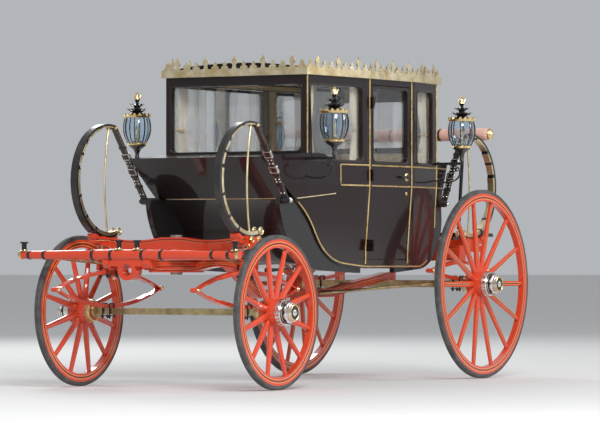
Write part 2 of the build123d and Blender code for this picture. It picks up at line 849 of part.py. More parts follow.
def transom_outline():
    """Front view of the transom: hollowed on top beside its middle, arched up under its ends."""
    inner, outer = transom_middle, hoop_side - saddle_width_half - transom_dip
    foot_start, foot_end = ring_outer + transom_dip, transom_half - transom_end
    half = None
    for way in (1, -1):
        dip = ThreePointArc((way * inner, transom_top), (way * (inner + outer) / 2, transom_top - transom_dip),
                            (way * outer, transom_top))
        arch = ThreePointArc((way * foot_start, transom_low),
                             (way * (foot_start + foot_end) / 2, transom_low + transom_arch / 3),
                             (way * foot_end, transom_low + transom_arch))
        end = Polyline((way * foot_end, transom_low + transom_arch), (way * transom_half, transom_low + transom_arch),
                       (way * transom_half, transom_top), (way * outer, transom_top))
        edge = dip + arch + end
        half = edge if half is None else half + edge
    top = Line((-inner, transom_top), (inner, transom_top))
    return half + top + Line((-foot_start, transom_low), (foot_start, transom_low))


transom = front_prism(transom_outline(), -transom_length / 2, transom_length / 2)
for side in (1, -1):
    rest = saddle(side)
    transom += rest + jack(side)
    x0, x1 = sorted((side * (horn_side - horn_width / 2), side * (horn_side + horn_width / 2)))
    transom += block(x0, x1, -horn_reach, horn_reach, transom_low, transom_low + horn_depth)
    for y in (-horn_reach, horn_reach):
        transom += pin_across(x0, x1, y, transom_low + horn_depth / 2, horn_depth / 2)
transom -= Pos(0, 0, transom_top) * Cylinder(kingpin_radius + kingpin_fit, 600)

perch_high = transom_low + perch_depth / 2 + 8
perch_end_height = rear_axle_top + perch_depth / 2
perch_path = FilletPolyline((0, transom_length / 2, perch_high), (0, perch_neck_end, perch_high),
                            (0, perch_low_start, perch_low), (0, perch_low_end, perch_low),
                            (0, wheelbase - 60, perch_end_height), (0, wheelbase + 60, perch_end_height),
                            radius=perch_bend)
perch = sweep(Plane(origin=perch_path @ 0, x_dir=(1, 0, 0), z_dir=(0, 1, 0)) * Rectangle(perch_width, perch_depth),
              path=perch_path)

perch_stays = both_sides(bar((perch_width / 2 - 2, perch_stay_start, perch_low),
                             (perch_stay_side, wheelbase - rear_axle_size / 2 + 2, rear_radius), stay_radius))
rear_axle = axle(rear_axle_size, rear_radius, wheelbase)
perch_stays = [one - perch - rear_axle for one in perch_stays]

rear_bed = block(-transom_half, transom_half, wheelbase - rear_beam_length / 2,
                 wheelbase + rear_beam_length / 2, rear_bed_low, hoop_foot - bed_drop)
rear_bed += block(-transom_half + cross_beam_inset, transom_half - cross_beam_inset,
                  wheelbase + rear_frame_back - rear_beam_length, wheelbase + rear_frame_back,
                  hoop_foot - cross_beam_drop, hoop_foot - bracket_drop)
for side in (1, -1):
    rear_bed += to_rear(saddle(side) + jack(side))
    x0, x1 = side * hoop_side - side_beam_half, side * hoop_side + side_beam_half
    rear_bed += block(x0, x1, wheelbase - rear_beam_length / 2, wheelbase + rear_frame_back,
                      hoop_foot - side_beam_drop, hoop_foot - bed_drop)
rear_bed -= Pos(0, rear_hoop, 0) * pin_across(-hoop_side - 60, hoop_side + 60, 0, hoop_height, hoop_radius)

bracket_low = hoop_foot - bracket_drop
brackets = [block(side * bracket_side - bracket_width / 2, side * bracket_side + bracket_width / 2,
                  wheelbase + rear_frame_back - rear_beam_length, board_end - board_overhang,
                  bracket_low, bracket_low + bracket_thick) for side in (1, -1)]
footboard = block(-board_half, board_half, board_start, board_end,
                  bracket_low + bracket_thick, bracket_low + bracket_thick + board_thick)


def standard(side):
    """One iron standard from the board's bracket up to the padded roll."""
    x = side * bracket_side
    path = FilletPolyline((x, standard_foot, bracket_low + bracket_thick), (x, *standard_knee),
                          (x, roll_back, roll_height - roll_radius), radius=200)
    return sweep(Plane(origin=path @ 0, z_dir=path % 0) * Circle(standard_radius), path=path)


roll = pin_across(-roll_half, roll_half, roll_back, roll_height, roll_radius)
standards = [standard(side) - brackets[0] - brackets[1] - roll for side in (1, -1)]


# Body loops, the iron scrolls that hang the body from the braces

def loop_pin(side, y):
    """The pin that the brace's end turns round."""
    x0, x1 = sorted((side * (hoop_side - loop_inset - loop_thick), side * (hoop_side + brace_width / 2 + 10)))
    return pin_across(x0, x1, y, loop_pin_height, loop_pin_radius)


def front_loop(side):
    """From the brace's pin down under the front quarter."""
    x0, x1 = sorted((side * (hoop_side - loop_inset - loop_thick), side * (hoop_side - loop_inset)))
    pin_y, pin_z = front_pin_reach, loop_pin_height
    line = Polyline((pin_y + 22, pin_z + 24), (pin_y - 22, pin_z + 24), (pin_y - 40, pin_z - 30))
    line += ThreePointArc((pin_y - 40, pin_z - 30), front_loop_belly, front_loop_foot)
    line += Polyline(front_loop_foot, (bottom_start, body_bottom - loop_drop), (bottom_start, body_bottom + loop_rise),
                     (quarter_front + 30, quarter_top), (pin_y + 22, pin_z + 24))
    return side_prism(line, x0, x1) + loop_pin(side, pin_y) - outer_body - front_boot


def rear_loop(side):
    """From the brace's pin down under the rear quarter."""
    x0, x1 = sorted((side * (hoop_side - loop_inset - loop_thick), side * (hoop_side - loop_inset)))
    pin_y, pin_z = rear_hoop - rear_pin_reach, loop_pin_height
    line = Polyline((pin_y - 24, pin_z + 24), (pin_y + 24, pin_z + 24), (pin_y + 26, pin_z - 60))
    line += ThreePointArc((pin_y + 26, pin_z - 60), rear_loop_belly, rear_loop_foot)
    line += Polyline(rear_loop_foot, (bottom_end - rear_loop_run, body_bottom - loop_drop),
                     (bottom_end - rear_loop_run, body_bottom + loop_rise),
                     (body_back - 100, body_bottom + 200), (body_back - 10, rear_boot_low[1]),
                     (pin_y - 24, pin_z + 24))
    return side_prism(line, x0, x1) + loop_pin(side, pin_y) - outer_body - rear_boot


# Seats

seat_box_low = body_bottom + wall
rear_room_end = body_back - wall
front_room_end = body_front + wall
rear_seat_box = block(-cushion_half, cushion_half, rear_seat_start + seat_setback,
                      rear_seat_start + seat_setback + seat_board, seat_box_low, seat_height)
rear_seat_box += block(-cushion_half, cushion_half, rear_seat_start, rear_room_end,
                       seat_height - seat_board, seat_height)
front_seat_box = block(-cushion_half, cushion_half, front_seat_end - seat_setback - seat_board,
                       front_seat_end - seat_setback, seat_box_low + front_box_rise, seat_height)
front_seat_box += block(-cushion_half, cushion_half, front_room_end, front_seat_end,
                        seat_height - seat_board, seat_height)
seat_boxes = [one & inner_room for one in (rear_seat_box, front_seat_box)]
rear_cushion = block(-cushion_half, cushion_half, rear_seat_start - seat_setback, rear_room_end - cushion_gap,
                     seat_height + cushion_gap, seat_height + cushion_depth)
front_cushion = block(-cushion_half, cushion_half, front_room_end, front_seat_end + seat_setback,
                      seat_height + cushion_gap, seat_height + cushion_depth)
front_cushion = front_cushion & (Pos(0, cushion_gap, cushion_gap) * inner_room)
back_low = seat_height + cushion_depth + 2 * cushion_gap
rear_back = block(-cushion_half, cushion_half, rear_room_end - back_thick, rear_room_end - cushion_gap,
                  back_low, rear_back_high)
front_back = block(-cushion_half, cushion_half, front_room_end + cushion_gap,
                   front_room_end + front_back_thick, back_low, front_back_high)


# Write every sub-part

os.makedirs("parts", exist_ok=True)

save("tub", tub)
save("cabin_frame", frame)
save("front_boot", front_boot)
save("rear_boot", rear_boot)
save("roof", roof)
save("roof_gallery", gallery)
save("end_glass", front_pane, rear_pane)
save("quarter_glass", *quarter_panes)
for name, side in (("left", 1), ("right", -1)):
    save(f"door_{name}", door_leaf(side))
    save(f"door_{name}_glass", door_pane(side))
    save(f"door_{name}_handle", door_handle(side))

save("seat_boxes", *seat_boxes)
save("rear_cushion", rear_cushion)
save("rear_backrest", rear_back)
save("front_cushion", front_cushion)
save("front_backrest", front_back)

lamps = [lamp(place) for place in lamp_places]
save("lamps", *[one for metal, glass in lamps for one in both_sides(metal)])
save("lamp_glass", *[one for metal, glass in lamps for one in both_sides(glass)])

save("c_springs", hoop(1), hoop(-1), to_rear(hoop(1)), to_rear(hoop(-1)))
save("braces_front", brace(1, front_pin_reach), brace(-1, front_pin_reach))
save("braces_rear", to_rear(brace(1, rear_pin_reach)), to_rear(brace(-1, rear_pin_reach)))
save("bow_stays", bow_stay(1), bow_stay(-1), to_rear(bow_stay(1)), to_rear(bow_stay(-1)))
save("body_loops_front", front_loop(1), front_loop(-1))
save("body_loops_rear", rear_loop(1), rear_loop(-1))

save("front_transom", transom)
save("turntable_upper", upper_ring)
save("perch", perch)
save("perch_stays", *perch_stays)
save("rear_bed", rear_bed)
save("rear_springs", *[elliptic(side * rear_leaf_side, rear_leaf_reach, rear_leaf_height, rear_axle_top, wheelbase)
                       for side in (1, -1)])
save("rear_axle", rear_axle)
save("board_brackets", *brackets)
save("footboard", footboard)
save("roll_standards", *standards)
save("rear_roll", roll)

save("turntable_lower", lower_ring)
save("fore_bed", fore_bed)
save("futchells", futchells)
save("kingpin", kingpin)
save("splinter_bar", splinter)
save("roller_bolts", *rollers)
save("fore_stays", *fore_stays)
save("front_springs", *[elliptic(side * front_leaf_side, front_leaf_reach, front_leaf_height, front_axle_top, 0)
                        for side in (1, -1)])
save("front_axle", axle(front_axle_size, front_radius, 0))

for end, radius, spokes, place in (("front", front_radius, front_spokes, 0),
                                   ("rear", rear_radius, rear_spokes, wheelbase)):
    pieces = wheel(radius, spokes)
    for name, side in (("left", 1), ("right", -1)):
        for kind, piece in zip(("tyre", "wheel", "hub_cap"), pieces):
            turned = piece if side == 1 else mirror(piece, about=Plane.YZ)
            save(f"{kind}_{end}_{name}", Pos(side * half_track, place, radius) * turned)
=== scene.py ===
# %% [markdown]
# # A glass coach in the studio
# The solids of the coach come in first, already in their places and already jointed.
# Everything made below is fitted to them, in metres, with +Z up, the coach facing -Y and its
# left side on +X. So a piece goes where the real one would, with no moving about afterwards.

# %% Load the solid model
import bpy
import bmesh
from math import atan2, cos, hypot, pi, radians, sin
from mathutils import Matrix, Vector


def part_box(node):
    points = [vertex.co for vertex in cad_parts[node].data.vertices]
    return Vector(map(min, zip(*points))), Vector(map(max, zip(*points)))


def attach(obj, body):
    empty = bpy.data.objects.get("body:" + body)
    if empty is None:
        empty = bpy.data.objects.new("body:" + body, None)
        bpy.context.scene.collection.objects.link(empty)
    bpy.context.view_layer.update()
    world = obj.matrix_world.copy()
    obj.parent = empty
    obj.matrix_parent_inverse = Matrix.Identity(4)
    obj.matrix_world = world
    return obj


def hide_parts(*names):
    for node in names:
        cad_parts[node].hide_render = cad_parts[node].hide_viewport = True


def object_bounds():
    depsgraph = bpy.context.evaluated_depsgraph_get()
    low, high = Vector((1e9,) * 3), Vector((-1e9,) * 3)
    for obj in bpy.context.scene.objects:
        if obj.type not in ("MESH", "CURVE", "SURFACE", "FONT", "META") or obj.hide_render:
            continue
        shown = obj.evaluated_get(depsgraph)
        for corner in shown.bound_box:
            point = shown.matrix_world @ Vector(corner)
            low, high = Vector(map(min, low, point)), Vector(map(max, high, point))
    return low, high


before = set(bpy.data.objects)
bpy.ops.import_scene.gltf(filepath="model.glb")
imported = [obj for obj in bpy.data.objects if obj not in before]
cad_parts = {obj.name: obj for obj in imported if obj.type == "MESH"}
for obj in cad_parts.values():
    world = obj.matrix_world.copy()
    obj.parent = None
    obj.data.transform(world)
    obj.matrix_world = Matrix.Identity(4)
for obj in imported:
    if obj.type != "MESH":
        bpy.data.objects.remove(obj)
cad_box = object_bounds()
scene = bpy.context.scene
print("solid pieces:", len(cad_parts))

# %% [markdown]
# The camera stands 27 m off the coach's front left corner, with its lens a little under a metre
# above the ground. A short lens could take the same view from closer up, but the near wheel
# would swell in it, and the long one keeps the wheels' true proportions.

# %% Camera
camera_data = bpy.data.cameras.new("camera")
camera_data.sensor_width = 36
camera_data.lens = 222
camera_data.clip_end = 500
camera = bpy.data.objects.new("camera", camera_data)
scene.collection.objects.link(camera)
camera.location = (14.31, -23.47, 0.93)
look_at = Vector((0.10, -0.04, 1.17))
camera.rotation_euler = (look_at - camera.location).to_track_quat("-Z", "Y").to_euler()
scene.camera = camera

# %% [markdown]
# Every finish here is a material whose shader is fed by a few patterns: noise for cloudiness, a
# range that turns noise into roughness, a mix of two colours. The node editor does the same by
# hand. A small class with a short name for each step keeps each recipe down to a few lines.

# %% A paint and its patterns
paints = {}


class Paint:
    """A material, its shader, and short ways to feed the shader's sockets."""

    def __init__(self, name):
        self.name = name
        self.material = bpy.data.materials.new(name)
        self.material.use_nodes = True
        self.tree = self.material.node_tree
        self.shader = self.tree.nodes["Principled BSDF"]
        self.place = self.node("TexCoord").outputs["Object"]
        paints[name] = self

    def connect(self, value, socket):
        """Feed a socket with a number, a colour, another socket or a node's first output."""
        if isinstance(value, bpy.types.Node):
            value = value.outputs[0]
        if isinstance(value, bpy.types.NodeSocket):
            self.tree.links.new(value, socket)
        elif value is not None:
            socket.default_value = value

    def node(self, kind, *inputs, **settings):
        """Add a node, set its options, and feed its inputs in their order."""
        made = self.tree.nodes.new("ShaderNode" + kind)
        for key, value in settings.items():
            setattr(made, key, value)
        for value, socket in zip(inputs, made.inputs):
            self.connect(value, socket)
        return made

    def noise(self, scale, detail, rough=None, place=None):
        """A cloudy pattern, on the object's own coordinates unless told otherwise."""
        return self.node("TexNoise", place or self.place, None, scale, detail, rough).outputs["Fac"]

    def spread(self, value, low, high, start, stop):
        """Stretch the part of a pattern between low and high from start to stop."""
        return self.node("MapRange", value, low, high, start, stop)

    def mix(self, share, first, second):
        """Go from one colour to another by a share."""
        colours = [(*one, 1) if isinstance(one, tuple) else one for one in (first, second)]
        return self.node("MixRGB", share, *colours)

    def math(self, kind, *inputs):
        """One sum with one or two numbers."""
        return self.node("Math", *inputs, operation=kind).outputs[0]

    def band(self, value, low, high):
        """One where a value lies between low and high, and nothing elsewhere."""
        above = self.math("GREATER_THAN", value, low)
        return self.math("MULTIPLY", above, self.math("LESS_THAN", value, high))

    def feed(self, **values):
        """Set or drive the shader's sockets by name, with _ for each space."""
        for name, value in values.items():
            self.connect(value, self.shader.inputs[name.replace("_", " ")])

    def bump(self, height, strength, distance):
        """Raise the surface by a pattern."""
        made = self.node("Bump")
        made.inputs["Strength"].default_value = strength
        made.inputs["Distance"].default_value = distance
        self.connect(height, made.inputs["Height"])
        self.feed(Normal=made)


# %% [markdown]
# The floor is a wide pale disc and the sky is an even pale grey. Three large soft lamps stand in
# for the bright sky round the coach: they leave long clean streaks on the varnish, which is what
# makes a dark panel read as glossy.

# %% Floor and light
floor_paint = Paint("floor_paint")
floor_tone = floor_paint.mix(floor_paint.noise(3.0, 6.0), (0.70, 0.70, 0.69), (0.74, 0.735, 0.72))
floor_paint.feed(Base_Color=floor_tone, Roughness=0.75)

floor_radius, floor_drop = 160, 0.001
shape = bmesh.new()
bmesh.ops.create_circle(shape, cap_ends=True, segments=96, radius=floor_radius)
floor_mesh = bpy.data.meshes.new("floor")
shape.to_mesh(floor_mesh)
shape.free()
floor_mesh.materials.append(floor_paint.material)
floor = bpy.data.objects.new("floor", floor_mesh)
scene.collection.objects.link(floor)
floor.location.z = cad_box[0][2] - floor_drop

world = bpy.data.worlds.new("studio")
scene.world = world
world.use_nodes = True
world.node_tree.nodes["Background"].inputs["Color"].default_value = (0.60, 0.62, 0.65, 1)
world.node_tree.nodes["Background"].inputs["Strength"].default_value = 0.75


def soft_lamp(name, place, aim, size, power):
    """A rectangular lamp at a place, aimed at a point."""
    data = bpy.data.lights.new(name, "AREA")
    data.shape = "RECTANGLE"
    data.size, data.size_y = size
    data.energy = power
    lamp = bpy.data.objects.new(name, data)
    lamp.location = place
    lamp.rotation_euler = (Vector(aim) - Vector(place)).to_track_quat("-Z", "Y").to_euler()
    scene.collection.objects.link(lamp)


soft_lamp("key_lamp", (9, -9, 9), (0, 0, 1), (5, 4), 1500)
soft_lamp("side_lamp", (11, 6, 6), (0, 0, 1), (6, 2.5), 500)
soft_lamp("back_lamp", (-9, 8, 8), (0, 0, 1.2), (6, 4), 600)
scene.view_settings.view_transform = "Standard"

# %% [markdown]
# Coach paint is twenty or more thin coats under varnish. The colour lies deep and is very
# slightly uneven, and the varnish over it is the mirror. The shader's coat is that varnish. A
# single glossy layer would be simpler, but it would tint the reflections and look like plastic.
# The roof is leather under a thin coat, so it mirrors far less than the panels do.

# %% Varnished paint
GRIME = (0.23, 0.19, 0.15)
VERMILION = (0.74, 0.066, 0.020)


def varnished(name, colour, rough=0.34, dust_top=0.9, dust=0.35, shade=0.82, coat=1.0):
    """Coach paint: deep colour, faint brush ripple, clear varnish, and road dust low down."""
    paint = Paint(name)
    upright = paint.node("Mapping", paint.place, None, None, (1.0, 1.0, 3.5))
    speck = paint.noise(38.0, 6.0, 0.7)
    deep = paint.mix(paint.noise(2.2, 5.0, 0.6), tuple(shade * c for c in colour), colour)
    height = paint.node("SeparateXYZ", paint.place).outputs["Z"]
    low = paint.spread(height, 0.05, dust_top, 1.0, 0.0)
    film = paint.math("MULTIPLY", low, paint.spread(speck, 0.46, 0.70, 0.0, dust))
    worn = paint.spread(speck, 0.3, 0.7, rough - 0.05, rough + 0.09)
    paint.feed(Base_Color=paint.mix(film, deep, GRIME), Roughness=worn)
    paint.feed(Coat_Weight=coat, Coat_Roughness=0.035, Coat_IOR=1.45, Specular_IOR_Level=0.15)
    paint.bump(paint.noise(46.0, 3.0, place=upright), 0.035, 0.004)
    return paint


varnished("claret_lacquer", (0.0115, 0.0030, 0.0036), dust=0.05, coat=0.72)
varnished("black_lacquer", (0.0085, 0.0080, 0.0085), dust=0.15)
varnished("roof_leather", (0.0100, 0.0092, 0.0092), rough=0.56, dust=0.15, coat=0.08)
varnished("vermilion", VERMILION, dust=0.30)
black_iron = varnished("black_iron", (0.014, 0.013, 0.013), rough=0.40, dust=0.25)
print("coach paints made")

# %% [markdown]
# Gilding is leaf laid in small squares, so its tone steps a little from leaf to leaf, and it is
# rubbed paler on high places. Plated and cast brass are smoother, with brown left in the low
# places after polishing. Both are metals, and only their roughness and colour differ.

# %% Metals
def metal(name, colour, low_colour, rough, ripple=0.12, leaf=False):
    """A polished or gilded metal whose colour and roughness wander a little."""
    paint = Paint(name)
    fine = paint.noise(60.0, 5.0, 0.6)
    tone = paint.spread(paint.noise(9.0, 6.0, 0.65), 0.36, 0.60, 0.0, 1.0)
    base = paint.mix(tone, low_colour, colour)
    if leaf:
        squares = paint.node("TexVoronoi", paint.place, None, 16.0, distance="CHEBYCHEV")
        step = paint.node("SeparateColor", squares.outputs["Color"])
        shade = paint.spread(step, 0.0, 1.0, 0.86, 1.0)
        base = paint.node("VectorMath", base, shade, operation="MULTIPLY")
    worn = paint.spread(fine, 0.3, 0.7, rough * 0.75, rough * 1.35)
    paint.feed(Base_Color=base, Roughness=worn, Metallic=1.0)
    paint.bump(fine, ripple, 0.0012)
    return paint


gilt = metal("gilt", (0.93, 0.72, 0.36), (0.70, 0.47, 0.17), 0.30, leaf=True)
pale_gilt = metal("pale_gilt", (0.95, 0.84, 0.58), (0.72, 0.55, 0.28), 0.36, leaf=True)
brass = metal("brass", (0.90, 0.74, 0.42), (0.52, 0.38, 0.17), 0.20)
silver = metal("silver", (0.88, 0.87, 0.83), (0.60, 0.58, 0.54), 0.18)
metal("olive_brass", (0.60, 0.50, 0.27), (0.30, 0.24, 0.12), 0.34)
metal("bright_iron", (0.42, 0.40, 0.37), (0.20, 0.17, 0.14), 0.36, ripple=0.25)
print("metals made")

# %% [markdown]
# A lamp is black japanned tin with gilt mouldings, all in one turned piece. Which part is gilt
# depends only on the height, so the shader reads the height and swaps paint for gold there.

# %% Lamp paint
lamp_foot = 1.622
lamp_gilt_bands = ((0.126, 0.144), (0.326, 0.350), (0.462, 0.530))
lamp_metal = Paint("lamp_metal")
height = lamp_metal.node("SeparateXYZ", lamp_metal.place).outputs["Z"]
cloud = lamp_metal.noise(30.0, 5.0, 0.6)
bands = [lamp_metal.band(height, lamp_foot + low, lamp_foot + high) for low, high in lamp_gilt_bands]
gilded = bands[0]
for band in bands[1:]:
    gilded = lamp_metal.math("MAXIMUM", gilded, band)
gold = lamp_metal.mix(cloud, (0.72, 0.52, 0.22), (0.94, 0.76, 0.42))
lamp_metal.feed(Base_Color=lamp_metal.mix(gilded, (0.010, 0.0095, 0.010), gold), Metallic=gilded)
lamp_metal.feed(Roughness=lamp_metal.spread(cloud, 0.3, 0.7, 0.18, 0.34))
lamp_metal.feed(Coat_Weight=0.6, Coat_Roughness=0.06)
print("gilt bands on a lamp:", len(bands))

# %% [markdown]
# Harness leather is dyed black and polished. Its grain is a net of tiny cells, which a Voronoi
# pattern gives, and where it bends the polish cracks and turns brown. Solid rubber tyres are
# matt, grey with road dust, and a little marked along the tread.

# %% Leather and rubber
def leather(name, colour, crease_colour, rough=0.34, coat=0.35):
    """Grained leather, paler where it has creased."""
    paint = Paint(name)
    cells = paint.node("TexVoronoi", paint.place, None, 420.0, feature="DISTANCE_TO_EDGE")
    cloud = paint.noise(7.0, 6.0, 0.6)
    worn = paint.spread(cloud, 0.52, 0.72, 0.0, 0.75)
    paint.feed(Base_Color=paint.mix(worn, colour, crease_colour), Coat_Weight=coat, Coat_Roughness=0.18)
    paint.feed(Roughness=paint.spread(cloud, 0.3, 0.7, rough - 0.06, rough + 0.14))
    paint.bump(cells.outputs["Distance"], 0.30, 0.0010)
    return paint


black_leather = leather("black_leather", (0.016, 0.014, 0.013), (0.060, 0.042, 0.030))
rose_leather = leather("rose_leather", (0.82, 0.48, 0.40), (0.62, 0.30, 0.24), rough=0.48, coat=0.12)
rubber = Paint("tyre_rubber")
cloud = rubber.noise(11.0, 8.0, 0.7)
dust = rubber.spread(cloud, 0.42, 0.68, 0.0, 0.45)
rubber.feed(Base_Color=rubber.mix(dust, (0.050, 0.050, 0.052), (0.20, 0.185, 0.165)))
rubber.feed(Roughness=rubber.spread(cloud, 0.3, 0.7, 0.62, 0.85))
rubber.bump(rubber.noise(260.0, 3.0), 0.4, 0.0012)
print("leather and rubber made")

# %% [markdown]
# The inside is trimmed in a cream cloth with a woven rib. The rib is two crossed wave patterns
# used as bump, so it still shows when someone looks in through a window, and the cloth has the
# soft light edge that fibres give, which is the shader's sheen.

# %% Cloth
def cloth(name, colour, shade, rib=520.0):
    """Woven cloth: two crossed ribs, an uneven dye and a soft sheen."""
    paint = Paint(name)
    ribs = [paint.node("TexWave", paint.place, rib, 0.4, 2.0, wave_type="BANDS", bands_direction=way)
            for way in ("X", "DIAGONAL")]
    paint.feed(Base_Color=paint.mix(paint.noise(5.0, 5.0), shade, colour), Roughness=0.85)
    paint.feed(Sheen_Weight=0.4, Sheen_Roughness=0.45)
    paint.bump(paint.math("ADD", *(one.outputs["Fac"] for one in ribs)), 0.35, 0.0008)
    return paint


cream_cloth = cloth("cream_cloth", (0.72, 0.60, 0.40), (0.60, 0.48, 0.30))
cream_silk = cloth("cream_silk", (0.84, 0.78, 0.64), (0.66, 0.58, 0.44), 190)
gold_braid = cloth("gold_braid", (0.74, 0.54, 0.22), (0.48, 0.33, 0.12), 900)
carpet_wool = cloth("carpet_wool", (0.30, 0.055, 0.045), (0.17, 0.028, 0.024), 260)

# %% [markdown]
# Plate glass of the time is faintly green and not quite flat, so what it mirrors is a little
# bent. A low alpha lets the light through to the seats, where full glass would cast a solid
# shadow. The lamps have thicker cut glass with a blue cast.

# %% Glass
def glass(name, colour, rough, wobble, scale, clear=1.0):
    """Clear glass with slow waves in it and a few smears on it."""
    paint = Paint(name)
    wave = paint.noise(scale, 2.0)
    smear = paint.noise(14.0, 6.0, 0.7)
    paint.feed(Base_Color=paint.mix(wave, tuple(0.97 * c for c in colour), colour))
    paint.feed(Roughness=paint.spread(smear, 0.45, 0.75, rough, rough + 0.02))
    paint.feed(Transmission_Weight=1.0, IOR=1.45, Alpha=clear)
    paint.bump(wave, wobble, 0.01)


glass("window_glass", (0.95, 0.98, 0.97), 0.003, 0.008, 2.0, clear=0.35)
glass("lamp_glass", (0.80, 0.90, 0.98), 0.03, 0.10, 26.0)
print("cloth and glass made")

# %% [markdown]
# Wheels are painted after the tyres are on. A coach painter then draws fine lines along each
# spoke and round the felloes with a long-haired brush. Here the shader draws them: it measures
# how far a point is from the wheel's centre and from the nearest spoke's middle line. Strips of
# geometry would also do, but there would be hundreds of them.

# %% Lined wheels
LINE_DARK = (0.020, 0.008, 0.006)
LINE_GOLD = (0.80, 0.55, 0.16)
AXLE_TO_ORIGIN = 1.5585
wheelbase, half_track = 3.0, 0.830
front_centre = (-AXLE_TO_ORIGIN, 0.540)
rear_centre = (wheelbase - AXLE_TO_ORIGIN, 0.720)
nave_radius, tyre_depth, felloe_depth = 0.096, 0.030, 0.058
spoke_foot, spoke_top = 0.075, 0.035
spoke_dark, spoke_gold = (-1.0, 0.0030), (0.0052, 0.0070)
felloe_dark, felloe_gold = (0.024, 0.031), ((0.0155, 0.018), (0.037, 0.0395))


def lined_wheel(name, centre, spokes):
    """Vermilion wheel paint, with lines along the spokes and round the felloes."""
    paint = varnished(name, VERMILION, dust_top=1.2, dust=0.30)
    plain = paint.shader.inputs["Base Color"].links[0].from_socket
    math, band = paint.math, paint.band
    split = paint.node("SeparateXYZ", paint.place)
    along = math("SUBTRACT", split.outputs["Y"], centre[0])
    up = math("SUBTRACT", split.outputs["Z"], centre[1])
    radius = math("SQRT", math("ADD", math("MULTIPLY", along, along), math("MULTIPLY", up, up)))
    half_step = pi / spokes
    turn = math("WRAP", math("ARCTAN2", up, along), half_step, -half_step)
    aside = math("ABSOLUTE", math("MULTIPLY", radius, math("SINE", turn)))
    felloe = centre[1] - tyre_depth - felloe_depth
    on_spoke = band(radius, nave_radius + spoke_foot, felloe - spoke_top)
    dark = math("MULTIPLY", band(aside, *spoke_dark), on_spoke)
    gold = math("MULTIPLY", band(aside, *spoke_gold), on_spoke)
    dark = math("MAXIMUM", dark, band(radius, felloe + felloe_dark[0], felloe + felloe_dark[1]))
    for low, high in felloe_gold:
        gold = math("MAXIMUM", gold, band(radius, felloe + low, felloe + high))
    paint.feed(Base_Color=paint.mix(gold, paint.mix(dark, plain, LINE_DARK), LINE_GOLD))


lined_wheel("front_wheel_paint", front_centre, 12)
lined_wheel("rear_wheel_paint", rear_centre, 14)

# %% [markdown]
# Every solid piece gets its finish by name. The solids keep their meshes; only their material
# slots change, so the same list could repaint the coach another way.

# %% Finishes for the solid pieces
sides = {"left": 1, "right": -1}
corners = [f"{end}_{side}" for end in ("front", "rear") for side in sides]
finishes = {
    "claret_lacquer": ["tub", "front_boot", "rear_boot", "door_left", "door_right", "cabin_frame"],
    "black_lacquer": ["footboard", "c_springs"],
    "roof_leather": ["roof"],
    "black_iron": ["body_loops_front", "body_loops_rear", "board_brackets", "roll_standards",
                   "door_left_handle", "door_right_handle", "roller_bolts"],
    "pale_gilt": ["roof_gallery", "bow_stays"],
    "lamp_metal": ["lamps"],
    "brass": [f"hub_cap_{corner}" for corner in corners],
    "olive_brass": ["front_axle", "rear_axle", "perch_stays", "fore_stays"],
    "bright_iron": ["turntable_upper", "turntable_lower", "kingpin"],
    "vermilion": ["front_transom", "perch", "rear_bed", "fore_bed", "futchells", "splinter_bar",
                  "front_springs", "rear_springs"],
    "black_leather": ["braces_front", "braces_rear"],
    "rose_leather": ["rear_roll"],
    "cream_cloth": ["rear_cushion", "rear_backrest", "front_cushion", "front_backrest", "seat_boxes"],
    "tyre_rubber": [f"tyre_{corner}" for corner in corners],
    "front_wheel_paint": ["wheel_front_left", "wheel_front_right"],
    "rear_wheel_paint": ["wheel_rear_left", "wheel_rear_right"],
    "window_glass": ["end_glass", "quarter_glass", "door_left_glass", "door_right_glass"],
    "lamp_glass": ["lamp_glass"],
}
for finish, names in finishes.items():
    for name in names:
        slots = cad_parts[name].data.materials
        slots.clear()
        slots.append(paints[finish].material)
left_out = set(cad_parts) - {name for names in finishes.values() for name in names}
print("solid pieces without a finish:", sorted(left_out))

# %% [markdown]
# Most pieces below start as a bmesh and end the same way: turned into an object that sits at the
# origin, given its finish, and told which part of the coach carries it. Two shapes come back all
# the time, a block with its edges eased and a turned profile, so each has a function.


def aft(distance):
    """Turn a distance behind the front axle into the frame's Y."""
    return distance - AXLE_TO_ORIGIN


def hold(name, data, finish, body):
    """Put a mesh or a curve into the scene as a finished piece that rides on a body."""
    data.materials.append(finish.material)
    piece = bpy.data.objects.new(name, data)
    scene.collection.objects.link(piece)
    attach(piece, body)
    return piece


def make(name, shape, finish, body="coach", smooth=None):
    """Turn a bmesh into a piece, shaded smooth where faces meet at less than an angle."""
    mesh = bpy.data.meshes.new(name)
    shape.to_mesh(mesh)
    shape.free()
    if smooth is not None:
        mesh.shade_smooth()
        if smooth < 180:
            mesh.set_sharp_from_angle(angle=radians(smooth))
    return hold(name, mesh, finish, body)


def since(shape, known):
    """The points that a bmesh has gained since a set of them was noted."""
    return [vert for vert in shape.verts if vert not in known]


def face_out(shape, verts):
    """Turn the faces round some points outwards."""
    bmesh.ops.recalc_face_normals(shape, faces=list({face for v in verts for face in v.link_faces}))


def add_block(shape, low, high, round_off=0.0, segments=2):
    """Add a box between two corners, with its edges rounded, to a bmesh."""
    low, high = Vector(low), Vector(high)
    grown = Matrix.Translation((low + high) / 2) @ Matrix.Diagonal((*(high - low), 1))
    made = bmesh.ops.create_cube(shape, size=1.0, matrix=grown)["verts"]
    if round_off:
        edges = list({edge for vert in made for edge in vert.link_edges})
        bmesh.ops.bevel(shape, geom=edges, offset=round_off, segments=segments, profile=0.5,
                        affect="EDGES", material=-1, clamp_overlap=True)


